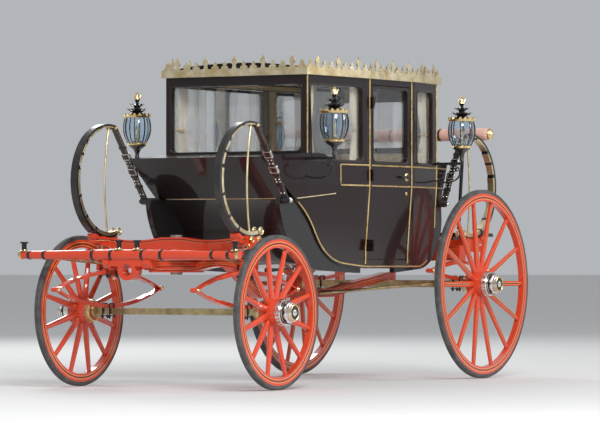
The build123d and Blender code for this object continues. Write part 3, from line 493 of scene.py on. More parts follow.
def add_turned(shape, profile, base, axis=(0, 0, 1), steps=32):
    """Add a turned piece: a profile of (radius, height) pairs spun about an axis through base."""
    known = set(shape.verts)
    points = [shape.verts.new((radius, 0, height)) for radius, height in profile]
    edges = [shape.edges.new(pair) for pair in zip(points, points[1:])]
    bmesh.ops.spin(shape, geom=points + edges, cent=(0, 0, 0), axis=(0, 0, 1), angle=2 * pi,
                   steps=steps, use_merge=True, dvec=(0, 0, 0))
    bmesh.ops.remove_doubles(shape, verts=since(shape, known), dist=1e-5)
    fresh = since(shape, known)
    face_out(shape, fresh)
    lift = Vector(axis).to_track_quat("Z", "Y").to_matrix().to_4x4()
    bmesh.ops.transform(shape, matrix=Matrix.Translation(base) @ lift, verts=fresh)


def turned(name, profile, places, finish, steps=32, body="coach", smooth=40):
    """A piece made of one turned shape at several places, each a base and an axis."""
    shape = bmesh.new()
    for base, axis in places:
        add_turned(shape, profile, base, axis, steps)
    return make(name, shape, finish, body, smooth)


# %% [markdown]
# A coach body curves in two directions, so a moulding's line is drawn in side view and then
# laid on the body. A ray is sent in from outside at each point, and where it meets the panel is
# where the moulding sits. This needs no second copy of the body's shape.

# %% Laying a line on the body
from mathutils.bvhtree import BVHTree

outside = 2.0


def surface_of(*names):
    """One search tree over several solid pieces."""
    points, faces = [], []
    for name in names:
        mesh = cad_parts[name].data
        start = len(points)
        points += [vert.co.copy() for vert in mesh.vertices]
        faces += [[start + i for i in face.vertices] for face in mesh.polygons]
    return BVHTree.FromPolygons(points, faces)


skin = surface_of("tub", "cabin_frame", "front_boot", "rear_boot", "door_left", "door_right",
                  "body_loops_front", "body_loops_rear")


def on_side(y, z, side=1, lift=0.0, tree=skin):
    """The point of the body's side at a place in side view, lifted off by a little."""
    hit = tree.ray_cast(Vector((side * outside, y, z)), Vector((-side, 0, 0)))[0]
    if hit is None:
        raise ValueError(f"no panel at {y:.3f}, {z:.3f}")
    return Vector((hit.x + side * lift, y, z))


def on_end(x, z, way, lift=0.001):
    """The point of the body's front (way -1) or back (way 1) at a place seen from that end."""
    hit = skin.ray_cast(Vector((x, way * 2 * outside, z)), Vector((0, -way, 0)))[0]
    return None if hit is None else Vector((x, hit.y + way * lift, z))


def steady(line, reach=4):
    """Take out the jogs where a ray met a hinge: a point takes its neighbours' middle width."""
    widths = []
    for i in range(len(line)):
        near = sorted(point.x for point in line[max(0, i - reach):i + reach + 1])
        widths.append(near[len(near) // 2])
    return [Vector((width, point.y, point.z)) for width, point in zip(widths, line)]


def through(places, pitch=0.03):
    """Points about every 3 cm along a line with corners, in side view."""
    line = []
    for (y0, z0), (y1, z1) in zip(places, places[1:]):
        count = max(1, round(hypot(y1 - y0, z1 - z0) / pitch))
        line += [(y0 + (y1 - y0) * i / count, z0 + (z1 - z0) * i / count) for i in range(count)]
    return line + [tuple(places[-1])]


def rounded(y0, y1, z0, z1, corner):
    """Points round a rectangle with rounded corners, from its first point back to it."""
    line = []
    for cy, cz, start in ((y1 - corner, z1 - corner, 0), (y0 + corner, z1 - corner, 90),
                          (y0 + corner, z0 + corner, 180), (y1 - corner, z0 + corner, 270)):
        line += [(cy + corner * cos(radians(start + turn)), cz + corner * sin(radians(start + turn)))
                 for turn in range(0, 91, 15)]
    return line + [line[0]]


def beads(name, lines, finish, radius, body="coach", thick=1.0, thinning=0.0):
    """Half-round mouldings: a curve with a round section along each line of points."""
    data = bpy.data.curves.new(name, "CURVE")
    data.dimensions = "3D"
    data.bevel_depth = radius
    data.bevel_resolution = 3
    data.use_fill_caps = True
    for line in lines:
        spline = data.splines.new("POLY")
        last = len(line) - 1
        spline.points.add(last)
        for i, (point, place) in enumerate(zip(spline.points, line)):
            point.co = (*place, 1)
            point.radius = thick - thinning * i / last
    return hold(name, data, finish, body)


# %% [markdown]
# The gilt mouldings are what the eye follows on a dark coach: down the corner posts, round the
# door, along the two belt rails and down the sweep to the bottom. They are half-round beads a
# finger wide, so a curve with a round section, sunk to its middle, is the whole job.

# %% Gilt mouldings
upper_belt, lower_belt, cornice = 1.600, 1.450, 2.235
body_lines = {
    "corner post": [(0.792, 1.640), (0.792, cornice)],
    "door post": [(1.598, 0.875), (1.598, cornice)],
    "upper belt ahead of the door": [(1.215, upper_belt), (1.600, upper_belt)],
    "lower belt ahead of the door": [(1.215, lower_belt), (1.600, lower_belt)],
    "belt end": [(1.215, lower_belt), (1.215, upper_belt)],
    "rear door post": [(2.222, 0.880), (2.222, cornice)],
    "upper belt behind the door": [(2.220, upper_belt), (2.690, upper_belt)],
    "lower belt behind the door": [(2.220, lower_belt), (2.690, lower_belt)],
    "rear corner": [(2.690, 1.150), (2.690, cornice)],
}
door_lines = [[(1.622, belt), (2.198, belt)] for belt in (upper_belt, lower_belt)]
moulding_radius, moulding_lift, long_post = 0.0065, 0.001, 9


def side_line(places, side):
    """A moulding's line, given in distances behind the front axle, laid on one side."""
    return [on_side(y, z, side, moulding_lift) for y, z in through([(aft(y), z) for y, z in places])]


main_lines = []
for side in sides.values():
    for places in body_lines.values():
        line = side_line(places, side)
        upright = places[0][0] == places[-1][0]
        main_lines.append(steady(line) if upright and len(line) > long_post else line)
beads("body_mouldings", main_lines, gilt, moulding_radius)
for side_name, side in sides.items():
    beads(f"door_mouldings_{side_name}", [side_line(places, side) for places in door_lines],
          gilt, moulding_radius, body=f"{side_name}_door")
print("mouldings:", len(main_lines), "lines on the body")

# %% [markdown]
# A C-spring is a pack of curved steel leaves. The outside is black, and the inside of each leaf
# and most of the sides are picked out in cream gold, so the spring shows a bright inner edge. A
# thin channel spun about the spring's centre follows it, and iron clips hold the pack together.

# %% Spring linings and clips
spring_radius, spring_height, spring_side = 0.400, 1.465, 0.600
leaf_depth = 0.009
leaf_starts = (80, 104, 134, 166)
leaf_end = 286
spring_places = {"front": (aft(0.0), 1), "rear": (aft(3.2), -1)}
channel_out, channel_in, channel_lip, channel_back = 0.0255, 0.0239, 0.0022, 0.0003
channel_share, channel_end = 0.64, 2
clip_half, clip_grip, clip_length, clip_angles = 0.0285, 0.0035, 0.011, (150, 196, 222, 244)
rivet = ((0, 0.005), (0.0055, 0.004), (0.0075, 0), (0, 0))
tip_in, tip_out = 0.010, 0.033


def spring_point(place, way, radius, angle):
    """Side-view point at an angle round a C-spring: 90 is its top and 180 its belly."""
    return place + way * radius * cos(radians(angle)), spring_height + radius * sin(radians(angle))


def add_channel(shape, side, place, way, leaf):
    """Spin a thin channel section along the inside of one leaf."""
    start = leaf_starts[leaf]
    stop = leaf_starts[leaf + 1] if leaf + 1 < len(leaf_starts) else leaf_end
    known = set(shape.verts)
    y, z = spring_point(place, way, spring_radius - (leaf + 1) * leaf_depth, start + channel_end)
    rise = Vector((0, y - place, z - spring_height)).normalized()
    up = channel_share * (leaf + 1) * leaf_depth
    section = [(-channel_out, -up), (-channel_out, channel_lip), (channel_out, channel_lip),
               (channel_out, -up), (channel_in, -up), (channel_in, -channel_back),
               (-channel_in, -channel_back), (-channel_in, -up)]
    ring = [shape.verts.new(Vector((side * spring_side + dx, y, z)) - rise * depth) for dx, depth in section]
    edges = [shape.edges.new((ring[k - 1], ring[k])) for k in range(len(ring))]
    bmesh.ops.spin(shape, geom=ring + edges + [shape.faces.new(ring)], steps=30, axis=(way, 0, 0),
                   cent=(side * spring_side, place, spring_height),
                   angle=radians(stop - start - 2 * channel_end))
    face_out(shape, since(shape, known))


def add_clip(shape, side, place, way, angle):
    """Set an iron clip with a rivet on each side round the pack of leaves."""
    half_pack = sum(angle > start for start in leaf_starts) * leaf_depth / 2
    y, z = spring_point(place, way, spring_radius - half_pack, angle)
    known = set(shape.verts)
    add_block(shape, (-clip_half, -half_pack - clip_grip, -clip_length),
              (clip_half, half_pack + clip_grip, clip_length), 0.002)
    for out in (1, -1):
        add_turned(shape, rivet, (out * clip_half, 0, 0), (out, 0, 0), 10)
    turn = Matrix.Rotation(way * radians(angle), 4, "X")
    at = Matrix.Translation((side * spring_side, y, z))
    bmesh.ops.transform(shape, matrix=at @ turn, verts=since(shape, known))


lining, clips, tips = bmesh.new(), bmesh.new(), []
for place, way in spring_places.values():
    for side in sides.values():
        for leaf in range(len(leaf_starts)):
            add_channel(lining, side, place, way, leaf)
        for angle in clip_angles:
            add_clip(clips, side, place, way, angle)
        tip = spring_point(place, way, spring_radius - tip_in, leaf_starts[0])
        tips += [((side * spring_side + out * tip_out, *tip), (out, 0, 0)) for out in (1, -1)]
make("spring_linings", lining, pale_gilt, smooth=40)
make("spring_clips", clips, black_iron, smooth=40)
tip_boss = ((0, 0.017), (0.006, 0.015), (0.010, 0.010), (0.0105, 0.004), (0.013, 0.002), (0.013, 0), (0, 0))
turned("spring_tip_bosses", tip_boss, tips, brass, 20)

# %% [markdown]
# Each brace is two straps of harness leather sewn together, with a big buckle for taking up the
# stretch. The stitching is a raised row of short threads close to each edge, and it is what
# makes a dark strap read as leather. Studs and buckle frames are bright.

# %% Brace furniture
brace_ends = {"front": (0.503, 1.330), "rear": (0.400, 1.330)}
thread_half, thread_length, thread_pitch, thread_row, thread_lift = 0.0006, 0.006, 0.009, 0.020, 0.0061
stud = ((0, 0.0052), (0.0035, 0.0045), (0.0062, 0.002), (0.0068, 0), (0, 0))
brace_boss = ((0, 0.013), (0.006, 0.0118), (0.0115, 0.008), (0.013, 0.003), (0.0175, 0.0015),
              (0.0175, 0), (0, 0))
buckle_sides = [((x - 0.0035, -0.004, -0.011), (x + 0.0035, 0.052, 0.011)) for x in (-0.0305, 0.0305)]
buckle_bars = [((-0.034, y - 0.004, low), (0.034, y + 0.004, high))
               for low, high in ((0.0066, 0.012), (-0.012, -0.0066)) for y in (0.0, 0.048)]
buckle_tongue = [((-0.003, 0.000, 0.0066), (0.003, 0.060, 0.0105))]
keeper_bars = [((-0.029, -0.009, 0.0062), (0.029, 0.009, 0.0094)),
               ((-0.029, -0.009, -0.0094), (0.029, 0.009, -0.0062)),
               ((-0.029, -0.009, -0.0094), (-0.0252, 0.009, 0.0094)),
               ((0.0252, -0.009, -0.0094), (0.029, 0.009, 0.0094))]
buckle_shares, keeper_shares, stud_shares = (0.36, 0.56), (0.28, 0.66, 0.80), (0.47, 0.515, 0.72, 0.755, 0.90)
stud_row, strap_half, boss_out, thread_start, thread_stop = 0.013, 0.006, 0.041, 0.030, 0.08


def add_threads(shape, length):
    """Rows of short stitches along both edges of a strap, on both its faces."""
    for row in (-thread_row, thread_row):
        for lift in (-thread_lift, thread_lift):
            for i in range(int((length - thread_stop) / thread_pitch)):
                at = thread_start + i * thread_pitch
                add_block(shape, (row - thread_half, at, lift - thread_half),
                          (row + thread_half, at + thread_length, lift + thread_half))


stitches, silverware, keepers = bmesh.new(), bmesh.new(), bmesh.new()
for end_name, (place, way) in spring_places.items():
    top = Vector((0, *spring_point(place, way, 0.4063, 76.5)))
    reach, low_height = brace_ends[end_name]
    foot = Vector((0, place + way * reach, low_height))
    length = (foot - top).length
    run = (foot - top).normalized()
    strap_axes = Matrix((Vector((1, 0, 0)), run, Vector((1, 0, 0)).cross(run))).transposed().to_4x4()
    for side in sides.values():
        middle = Vector((side * spring_side, 0, 0))

        def set_on(shape, known, distance):
            """Move what was just made from the strap's own axes to its place on the strap."""
            at = Matrix.Translation(middle + top + run * distance)
            bmesh.ops.transform(shape, matrix=at @ strap_axes, verts=since(shape, known))

        known = set(stitches.verts)
        add_threads(stitches, length)
        set_on(stitches, known, 0)
        for shape, blocks, round_off, shares in (
                (silverware, buckle_sides + buckle_bars + buckle_tongue, 0.0018, buckle_shares),
                (keepers, keeper_bars, 0.001, keeper_shares)):
            for share in shares:
                known = set(shape.verts)
                for low, high in blocks:
                    add_block(shape, low, high, round_off)
                set_on(shape, known, share * length)
        for share in stud_shares:
            known = set(silverware.verts)
            for row in (-stud_row, stud_row):
                for face in (1, -1):
                    add_turned(silverware, stud, (row, 0, face * strap_half), (0, 0, face), 12)
            set_on(silverware, known, share * length)
        for out in (1, -1):
            end = foot + middle + Vector((out * boss_out, 0, 0))
            add_turned(silverware, brace_boss, end, (out, 0, 0), 20)
make("brace_stitching", stitches, cream_cloth)
make("brace_buckles", silverware, silver, smooth=40)
make("brace_keepers", keepers, black_leather, smooth=40)

# %% [markdown]
# The nave, or hub, is turned elm held by metal bands, with the oil cap screwed on its end. Caps,
# bands and rings are turned profiles, so one short list of radii and places makes each of them.

# %% Hub bands
hub_cap = ((0.0, 0.080), (0.0775, 0.080), (0.0765, 0.112), (0.0720, 0.117), (0.0640, 0.120),
           (0.0625, 0.124), (0.0625, 0.145), (0.0600, 0.150), (0.0540, 0.1515), (0.0470, 0.1480),
           (0.0280, 0.1475), (0.0240, 0.1500), (0.0200, 0.1560), (0.0140, 0.1578), (0.0, 0.1580))
nave_rings = {
    "inner": (brass, ((0.066, -0.1295), (0.0745, -0.1285), (0.084, -0.104), (0.0835, -0.098), (0.079, -0.098),
                      (0.064, -0.1285), (0.066, -0.1295))),
    "outer": (silver, ((0.0865, 0.040), (0.0945, 0.0405), (0.0955, 0.046), (0.0925, 0.052), (0.0925, 0.068),
                       (0.0945, 0.074), (0.0900, 0.0815), (0.080, 0.0825), (0.080, 0.060), (0.0865, 0.040))),
    "black": (black_iron, ((0.0765, 0.090), (0.0805, 0.091), (0.0820, 0.096), (0.0805, 0.1015),
                           (0.0765, 0.103), (0.070, 0.098), (0.0765, 0.090))),
    "face": (black_iron, ((0.0250, 0.1478), (0.0468, 0.1478), (0.0468, 0.1494), (0.0250, 0.1494),
                          (0.0250, 0.1478))),
    "rim": (brass, ((0.0472, 0.1470), (0.0476, 0.1512), (0.0520, 0.1538), (0.0580, 0.1532), (0.0618, 0.1500),
                    (0.0618, 0.1460), (0.0472, 0.1470))),
    "bright": (silver, ((0.060, 0.1285), (0.0655, 0.130), (0.0665, 0.1335), (0.0655, 0.137), (0.0600, 0.139),
                        (0.055, 0.134), (0.060, 0.1285))),
}
cap_lugs, lug_low, lug_high, ring_steps = 8, (0.104, -0.011, 0.0735), (0.113, 0.011, 0.0785), 40
for end_name, centre in (("front", front_centre), ("rear", rear_centre)):
    for side_name, side in sides.items():
        middle = Vector((side * half_track, *centre))
        place = (middle, (side, 0, 0))
        body = f"{end_name}_{side_name}_wheel"
        cap = turned(f"cap_{end_name}_{side_name}", hub_cap, [place], silver, ring_steps, body)
        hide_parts(f"hub_cap_{end_name}_{side_name}")
        for ring_name, (finish, profile) in nave_rings.items():
            ring = bmesh.new()
            add_turned(ring, profile, *place, ring_steps)
            for i in range(cap_lugs if ring_name == "black" else 0):
                known = set(ring.verts)
                add_block(ring, (side * lug_low[0], *lug_low[1:]),
                          (side * lug_high[0], *lug_high[1:]), 0.0012)
                turn = Matrix.Rotation(2 * pi * i / cap_lugs, 4, (1, 0, 0))
                lug = since(ring, known)
                bmesh.ops.transform(ring, matrix=Matrix.Translation(middle) @ turn, verts=lug)
                face_out(ring, lug)
            make(f"nave_{ring_name}_{end_name}_{side_name}", ring, finish, body, 40)
print("springs, braces and hubs dressed")

# %% [markdown]
# Cushions are stuffed covers, so they bulge between their seams. A slightly small block is
# remeshed into even little faces and blown up a little by the cloth solver, as a real cover is
# by its stuffing. Buttons are pulled in afterwards by moving points, because the remesh would
# swallow them.

# %% Stuffed covers
blow_steps, blow_pressure, quick_voxel = 20, 4, 1.6


def evened(piece):
    """The mesh that a piece has once its modifiers have run."""
    graph = bpy.context.evaluated_depsgraph_get()
    mesh = bpy.data.meshes.new_from_object(piece.evaluated_get(graph))
    piece.modifiers.clear()
    return mesh


def stuffed(name, shape, finish, voxel, cap, dents=None):
    """Blow a closed bmesh up like a stuffed cover, with no point moving further than the cap."""
    piece = make(name, shape, finish)
    even = piece.modifiers.new("even", "REMESH")
    even.mode = "VOXEL"
    even.voxel_size = voxel * 1.0
    bpy.context.view_layer.update()
    piece.data = evened(piece)
    rest = [vert.co.copy() for vert in piece.data.vertices]
    puff = piece.modifiers.new("puff", "CLOTH")
    puff.settings.quality = 5
    puff.settings.use_pressure = True
    puff.settings.uniform_pressure_force = blow_pressure
    puff.settings.effector_weights.gravity = 0
    for step in range(1, blow_steps + 1):
        scene.frame_set(step)
    blown = evened(piece)
    scene.frame_set(1)
    for vert, before in zip(blown.vertices, rest):
        move = vert.co - before
        if move.length > cap:
            vert.co = before + move.normalized() * cap
    piece.data = blown
    if dents:
        for vert in piece.data.vertices:
            vert.co += dents(vert.co)
    if not piece.data.materials:
        piece.data.materials.append(finish.material)
    for face in piece.data.polygons:
        face.material_index = 0
    piece.data.shade_smooth()
    finer = piece.modifiers.new("finer", "SUBSURF")
    finer.levels = finer.render_levels = 1
    print(name, len(piece.data.vertices), "points")
    return piece


# %% [markdown]
# The cabin's walls curve into the boxes of the cushions, so each cover first asks how much room
# there is. Backs are tufted: rows of buttons, every other row moved by half a step, with a fold
# between each two neighbours. A dent's depth falls away from its button like a bell.

# %% Cushions and backs
room = surface_of("tub", "cabin_frame")
button_columns, button_rows, button_sink = 7, 3, 0.024
fold_sink, button_spread, fold_spread, tuft_depth = 0.011, 0.030, 0.012, 0.055
cover_inset, cover_round, cover_voxel, cover_swell = 0.013, 0.022, 0.008, 0.012


def room_for(node):
    """A solid cushion's box, drawn back wherever the curved walls come inside it."""
    low, high = (Vector(corner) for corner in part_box(node))
    middle = (low + high) / 2
    for axis in (0, 1):
        for way, corner in ((-1, low), (1, high)):
            for z in (low.z + 0.01, middle.z, high.z - 0.01):
                for share in (-0.85, 0.0, 0.85):
                    start = middle.copy()
                    start.z = z
                    start[1 - axis] += share * (high[1 - axis] - middle[1 - axis])
                    aim = Vector((0, 0, 0))
                    aim[axis] = way
                    hit = room.ray_cast(start, aim)[0]
                    if hit is not None and way * (hit[axis] - corner[axis]) < 0:
                        corner[axis] = hit[axis]
    return low, high


def cushion_block(node):
    """A rounded block a little smaller than a solid cushion."""
    low, high = room_for(node)
    inset = Vector((cover_inset,) * 3)
    shape = bmesh.new()
    add_block(shape, low + inset, high - inset, cover_round, 4)
    return shape


def button_places(node):
    """The places of the buttons on an upright back, seen from the front."""
    low, high = room_for(node)
    places = []
    for row in range(button_rows):
        z = low.z + (high.z - low.z) * (row + 0.6) / (button_rows + 0.1)
        odd = row % 2
        for column in range(button_columns - odd):
            places.append((low.x + (high.x - low.x) * (column + 0.5 + 0.5 * odd) / button_columns, z))
    return places


def bell(distance, spread):
    """One in the middle, falling smoothly away with distance."""
    return 2.718 ** (-(distance / spread) ** 2)


def tufted(node, faces_aft):
    """A function that dents the seat's back at its buttons and along the folds between them."""
    low, high = room_for(node)
    face_y = high.y if faces_aft else low.y
    places = button_places(node)
    step = (high.x - low.x) / button_columns
    folds = [(a, b) for i, a in enumerate(places) for b in places[i + 1:]
             if 0 < abs(a[1] - b[1]) < 0.4 * (high.z - low.z) and abs(a[0] - b[0]) < 0.6 * step]

    def dent(point):
        near = 1.0 - min(1.0, abs(point.y - face_y) / tuft_depth)
        if near <= 0:
            return Vector((0, 0, 0))
        depth = 0.0
        for x, z in places:
            depth = max(depth, button_sink * bell(hypot(point.x - x, point.z - z), button_spread))
        for (x0, z0), (x1, z1) in folds:
            run_x, run_z = x1 - x0, z1 - z0
            part = ((point.x - x0) * run_x + (point.z - z0) * run_z) / (run_x ** 2 + run_z ** 2)
            part = min(1.0, max(0.0, part))
            off = hypot(point.x - x0 - part * run_x, point.z - z0 - part * run_z)
            depth = max(depth, fold_sink * bell(off, fold_spread))
        return Vector((0, (-1 if faces_aft else 1) * depth * near, 0))

    return dent


faces_aft = {"front_cushion": None, "rear_cushion": None, "front_backrest": True, "rear_backrest": False}
button = ((0, 0.007), (0.006, 0.0062), (0.0100, 0.0035), (0.0105, 0), (0, -0.004))
button_spots = []
for node_name, aftward in faces_aft.items():
    dents = None if aftward is None else tufted(node_name, aftward)
    cover = stuffed(f"{node_name}_cover", cushion_block(node_name), cream_cloth, cover_voxel, cover_swell,
                    dents=dents)
    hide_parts(node_name)
    if aftward is not None:
        low, high = room_for(node_name)
        face_y = high.y - button_sink if aftward else low.y + button_sink
        button_spots += [((x, face_y, z), (0, 1 if aftward else -1, 0)) for x, z in button_places(node_name)]
turned("back_buttons", button, button_spots, gold_braid, 12, smooth=50)

piping, piping_in, piping_height, piping_corner = [], 0.006, 0.012, 0.016
for node_name in ("front_cushion", "rear_cushion"):
    low, high = room_for(node_name)
    outline = rounded(low.x + piping_in, high.x - piping_in,
                      low.y + piping_in, high.y - piping_in, piping_corner)
    for z in (low.z + piping_height, high.z - piping_height):
        piping.append([Vector((x, y, z)) for x, y in outline])
beads("cushion_piping", piping, gold_braid, 0.0042)

# %% [markdown]
# The long roll behind the coach is a leather bolster. It is drawn in by sewn bands where straps
# hold it to its standards, and gathered at each end under a turned cap.

# %% Padded roll
low, high = (Vector(corner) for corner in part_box("rear_roll"))
roll_middle = (low + high) / 2
roll_half, roll_round = (high.x - low.x) / 2, (high.z - low.z) / 2
half_profile = [(0.0, roll_half - 0.022), (roll_round * 0.55, roll_half - 0.022),
                (roll_round * 0.86, roll_half - 0.045)]
profile = [(radius, -reach) for radius, reach in half_profile]
profile += [(roll_round * 0.88, -roll_half + 0.07 + i * (2 * roll_half - 0.14) / 40) for i in range(41)]
bolster = bmesh.new()
add_turned(bolster, profile + half_profile[::-1], roll_middle, (1, 0, 0), 40)
band_places = (-0.44, -0.22, 0.0, 0.22, 0.44)
band_sink, gather_sink, gather_reach, gathers = 0.0075, 0.0030, 0.085, 22


def drawn_in(point):
    """Pull the roll in at its bands, and gather it towards its ends."""
    away = Vector((0, point.y - roll_middle.y, point.z - roll_middle.z))
    if away.length < 1e-4:
        return Vector((0, 0, 0))
    pull = max(band_sink * bell(point.x - band, 0.010) for band in band_places)
    near_end = max(0.0, abs(point.x) - (roll_half - gather_reach)) / gather_reach
    pull += near_end * gather_sink * (0.5 + 0.5 * cos(gathers * atan2(away.z, away.y)))
    return away.normalized() * -pull


roll_cover = stuffed("roll_cover", bolster, rose_leather, 0.006, 0.006, dents=drawn_in)
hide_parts("rear_roll")
end_cap = ((0, 0.024), (0.010, 0.0235), (0.016, 0.019), (0.030, 0.016), (0.040, 0.010), (0.0445, 0.004),
           (0.0445, -0.004), (0.036, -0.010), (0, -0.012))
cap_places = [(roll_middle + Vector((out * (roll_half - 0.024), 0, 0)), (out, 0, 0)) for out in (1, -1)]
turned("roll_end_caps", end_cap, cap_places, gilt)
band_ring = [(roll_round - sink, height) for sink, height in (
    (0.0085, -0.008), (0.0050, -0.0075), (0.0050, 0.0075), (0.0085, 0.008), (0.012, 0.0), (0.0085, -0.008))]
turned("roll_bands", band_ring, [(roll_middle + Vector((band, 0, 0)), (1, 0, 0)) for band in band_places],
       black_leather, 40)
print("cushions and roll made")

# %% [markdown]
# The longest gilt line runs down the edge of the panel, from the front spring's brace, under the
# door and up to the back. The panel's edge isn't written down anywhere, so it is looked for: a
# ray goes in at each place and climbs until it meets the panel and not the iron loop beside it.

# %% Gilt sweep under the body
panel = surface_of("tub", "front_boot", "door_left", "door_right")
sweep_start, sweep_end, sweep_points, edge_gap = 0.700, 2.590, 64, 0.014
climb_low, climb_high, climb_step = 0.80, 1.50, 0.01


def panel_edge(y, side):
    """The lowest height at which the body's own panel is the outermost thing."""
    start_x, aim = side * outside, Vector((-side, 0, 0))

    def clear(z):
        own, first = (tree.ray_cast(Vector((start_x, y, z)), aim)[0] for tree in (panel, skin))
        return own is not None and abs(own.x - first.x) < 0.002

    z = climb_low
    while z < climb_high and not clear(z):
        z += climb_step
    under, over = z - climb_step, z
    for _ in range(7):
        middle = (under + over) / 2
        under, over = (under, middle) if clear(middle) else (middle, over)
    return over


sweeps = []
for side in sides.values():
    places = [aft(sweep_start + (sweep_end - sweep_start) * i / (sweep_points - 1))
              for i in range(sweep_points)]
    heights = [panel_edge(y, side) + edge_gap for y in places]
    for _ in range(3):
        eased = [(a + 2 * b + c) / 4 for a, b, c in zip(heights, heights[1:], heights[2:])]
        heights = [heights[0]] + eased + [heights[-1]]
    sweeps.append([on_side(y, z, side, 0.0005, panel) for y, z in zip(places, heights)])
beads("bottom_sweep", sweeps, gilt, 0.0060)
print("points on a sweep:", sweep_points)

# %% [markdown]
# A thin bead crosses the front boot and turns back along its sides, which makes a deep panel
# look shallow. It is laid from the front with the same rays, only sent backwards.

# %% Boot moulding
boot_line_height, boot_line_half, boot_line_rise = 1.345, 0.50, 0.0026
boot_lines = [[on_end(-boot_line_half + i * 0.05, boot_line_height, -1) for i in range(21)]]
for side in sides.values():
    boot_lines.append([on_side(aft(0.66 + i * 0.03), boot_line_height + boot_line_rise * i, side, 0.0005)
                       for i in range(17)])
beads("boot_moulding", boot_lines, pale_gilt, 0.0042)

# %% [markdown]
# Windows sit in dark rebates with a thin fillet round each. A fillet's line is a rounded
# rectangle laid on the body, a few millimetres outside the opening for the glass.

# %% Window fillets
windows = {
    "front_quarter": (0.838, 1.500, "coach"),
    "rear_quarter": (2.325, 2.610, "coach"),
    "door": (1.658, 2.158, "door"),
}
front_window = (0.553, 1.690)
window_low, window_high, window_corner, fillet_out, fillet_radius = 1.632, 2.168, 0.038, 0.009, 0.0045


def fillet_outline(start, stop, low, high):
    """A window's outline, set a little outside its opening."""
    return rounded(start - fillet_out, stop + fillet_out, low - fillet_out, high + fillet_out, window_corner)


for side_name, side in sides.items():
    for window_name, (start, stop, holder) in windows.items():
        outline = fillet_outline(aft(start), aft(stop), window_low, window_high)
        line = [on_side(y, z, side, -0.0005) for y, z in outline]
        beads(f"window_fillet_{window_name}_{side_name}", [line], black_iron, fillet_radius,
              body="coach" if holder == "coach" else f"{side_name}_door")
outline = fillet_outline(-front_window[0], front_window[0], front_window[1], window_high)
beads("window_fillet_front", [[on_end(x, z, -1, -0.0005) for x, z in outline]], black_iron, fillet_radius)

# %% [markdown]
# Door furniture: a turned rose behind the lever, and a keyhole plate under it. They are small,
# but a black lever on a black door is only seen because its rose is gilt.

# %% Door furniture
handle_place, handle_height, key_drop = aft(2.150), 1.522, 0.125
rose = ((0.0155, 0.0), (0.0310, 0.0), (0.0305, 0.0025), (0.0250, 0.0050), (0.0185, 0.0062), (0.0155, 0.0060),
        (0.0155, 0.0))
key_plate = ((0.0, 0.0), (0.0140, 0.0), (0.0138, 0.0022), (0.0100, 0.0040), (0.0062, 0.0042),
             (0.0058, 0.0012), (0.0, 0.0012))
for side_name, side in sides.items():
    for name, profile, height, steps in (("handle_rose", rose, handle_height, 32),
                                         ("key_plate", key_plate, handle_height - key_drop, 24)):
        turned(f"{name}_{side_name}", profile, [(on_side(handle_place, height, side), (side, 0, 0))],
               gilt, steps, body=f"{side_name}_door")

# %% [markdown]
# Each lamp gets what its turned body can't have: rings of gilt leaves round the glass, petals
# on its two black dishes, a candle behind the glass and the curled iron that steadies it.

# %% Lamp ornaments
lamp_side, lamp_places = 0.845, (0.763, 2.650)
lamp_spots = [Vector((side * lamp_side, aft(y), lamp_foot)) for side in sides.values() for y in lamp_places]
petal_thick, curl, curl_drop, wall_drop, bow_out = 0.0022, 0.020, 0.036, 0.115, 0.09
leaf_rings = ((0.098, 0.338, 16, 0.026, 0.030, 14), (0.066, 0.124, 14, 0.024, 0.024, 26),
              (0.012, 0.452, 6, 0.050, 0.020, 20), (0.008, 0.480, 5, 0.036, 0.014, 8))
petal_rings = ((0.060, 0.384, 12, 0.022, 0.028, 62), (0.044, 0.422, 10, 0.018, 0.024, 62))
candle = ((0.0, 0.150), (0.040, 0.150), (0.042, 0.156), (0.018, 0.162), (0.016, 0.176), (0.0125, 0.178),
          (0.0125, 0.262), (0.0105, 0.266), (0.0020, 0.267), (0.0016, 0.279), (0.0, 0.280))


def add_petals(shape, centre, radius, height, count, length, width, lean):
    """A ring of small pointed leaves round a circle, each leaning outwards by an angle."""
    outline = ((-0.5, 0), (-0.42, 0.45), (0, 1), (0.42, 0.45), (0.5, 0))
    for i in range(count):
        known = set(shape.verts)
        leaf = shape.faces.new([shape.verts.new((x * width, 0, z * length)) for x, z in outline])
        pushed = bmesh.ops.extrude_face_region(shape, geom=[leaf])
        front = [v for v in pushed["geom"] if isinstance(v, bmesh.types.BMVert)]
        bmesh.ops.translate(shape, verts=front, vec=(0, petal_thick, 0))
        fresh = since(shape, known)
        face_out(shape, fresh)
        tilt = Matrix.Translation((0, -radius, 0)) @ Matrix.Rotation(radians(lean), 4, "X")
        turn = Matrix.Rotation(2 * pi * i / count, 4, "Z")
        at = Matrix.Translation(centre + Vector((0, 0, height)))
        bmesh.ops.transform(shape, matrix=at @ turn @ tilt, verts=fresh)


def lamp_scroll(spot):
    """The line of a lamp's iron: out from the body in a bow, up to the lamp, and curled over."""
    side = 1 if spot.x > 0 else -1
    wall = on_side(spot.y, lamp_foot - wall_drop, side).x + side * 0.004
    stop = spot.x - side * curl
    bow = ((wall, -wall_drop), (wall + side * bow_out, -0.150), (spot.x + side * 0.010, -0.130),
           (stop, -curl_drop))
    line = []
    for i in range(17):
        t = i / 16
        shares = ((1 - t) ** 3, 3 * t * (1 - t) ** 2, 3 * t * t * (1 - t), t ** 3)
        x, drop = (sum(share * point[k] for share, point in zip(shares, bow)) for k in (0, 1))
        line.append(Vector((x, spot.y, lamp_foot + drop)))
    for i in range(1, 22):
        swing, reach = radians(15 * i), curl * (1 - i / 30)
        line.append(Vector((stop - side * (curl - reach * cos(swing)), spot.y,
                            lamp_foot - curl_drop + reach * sin(swing) * 0.9)))
    return line


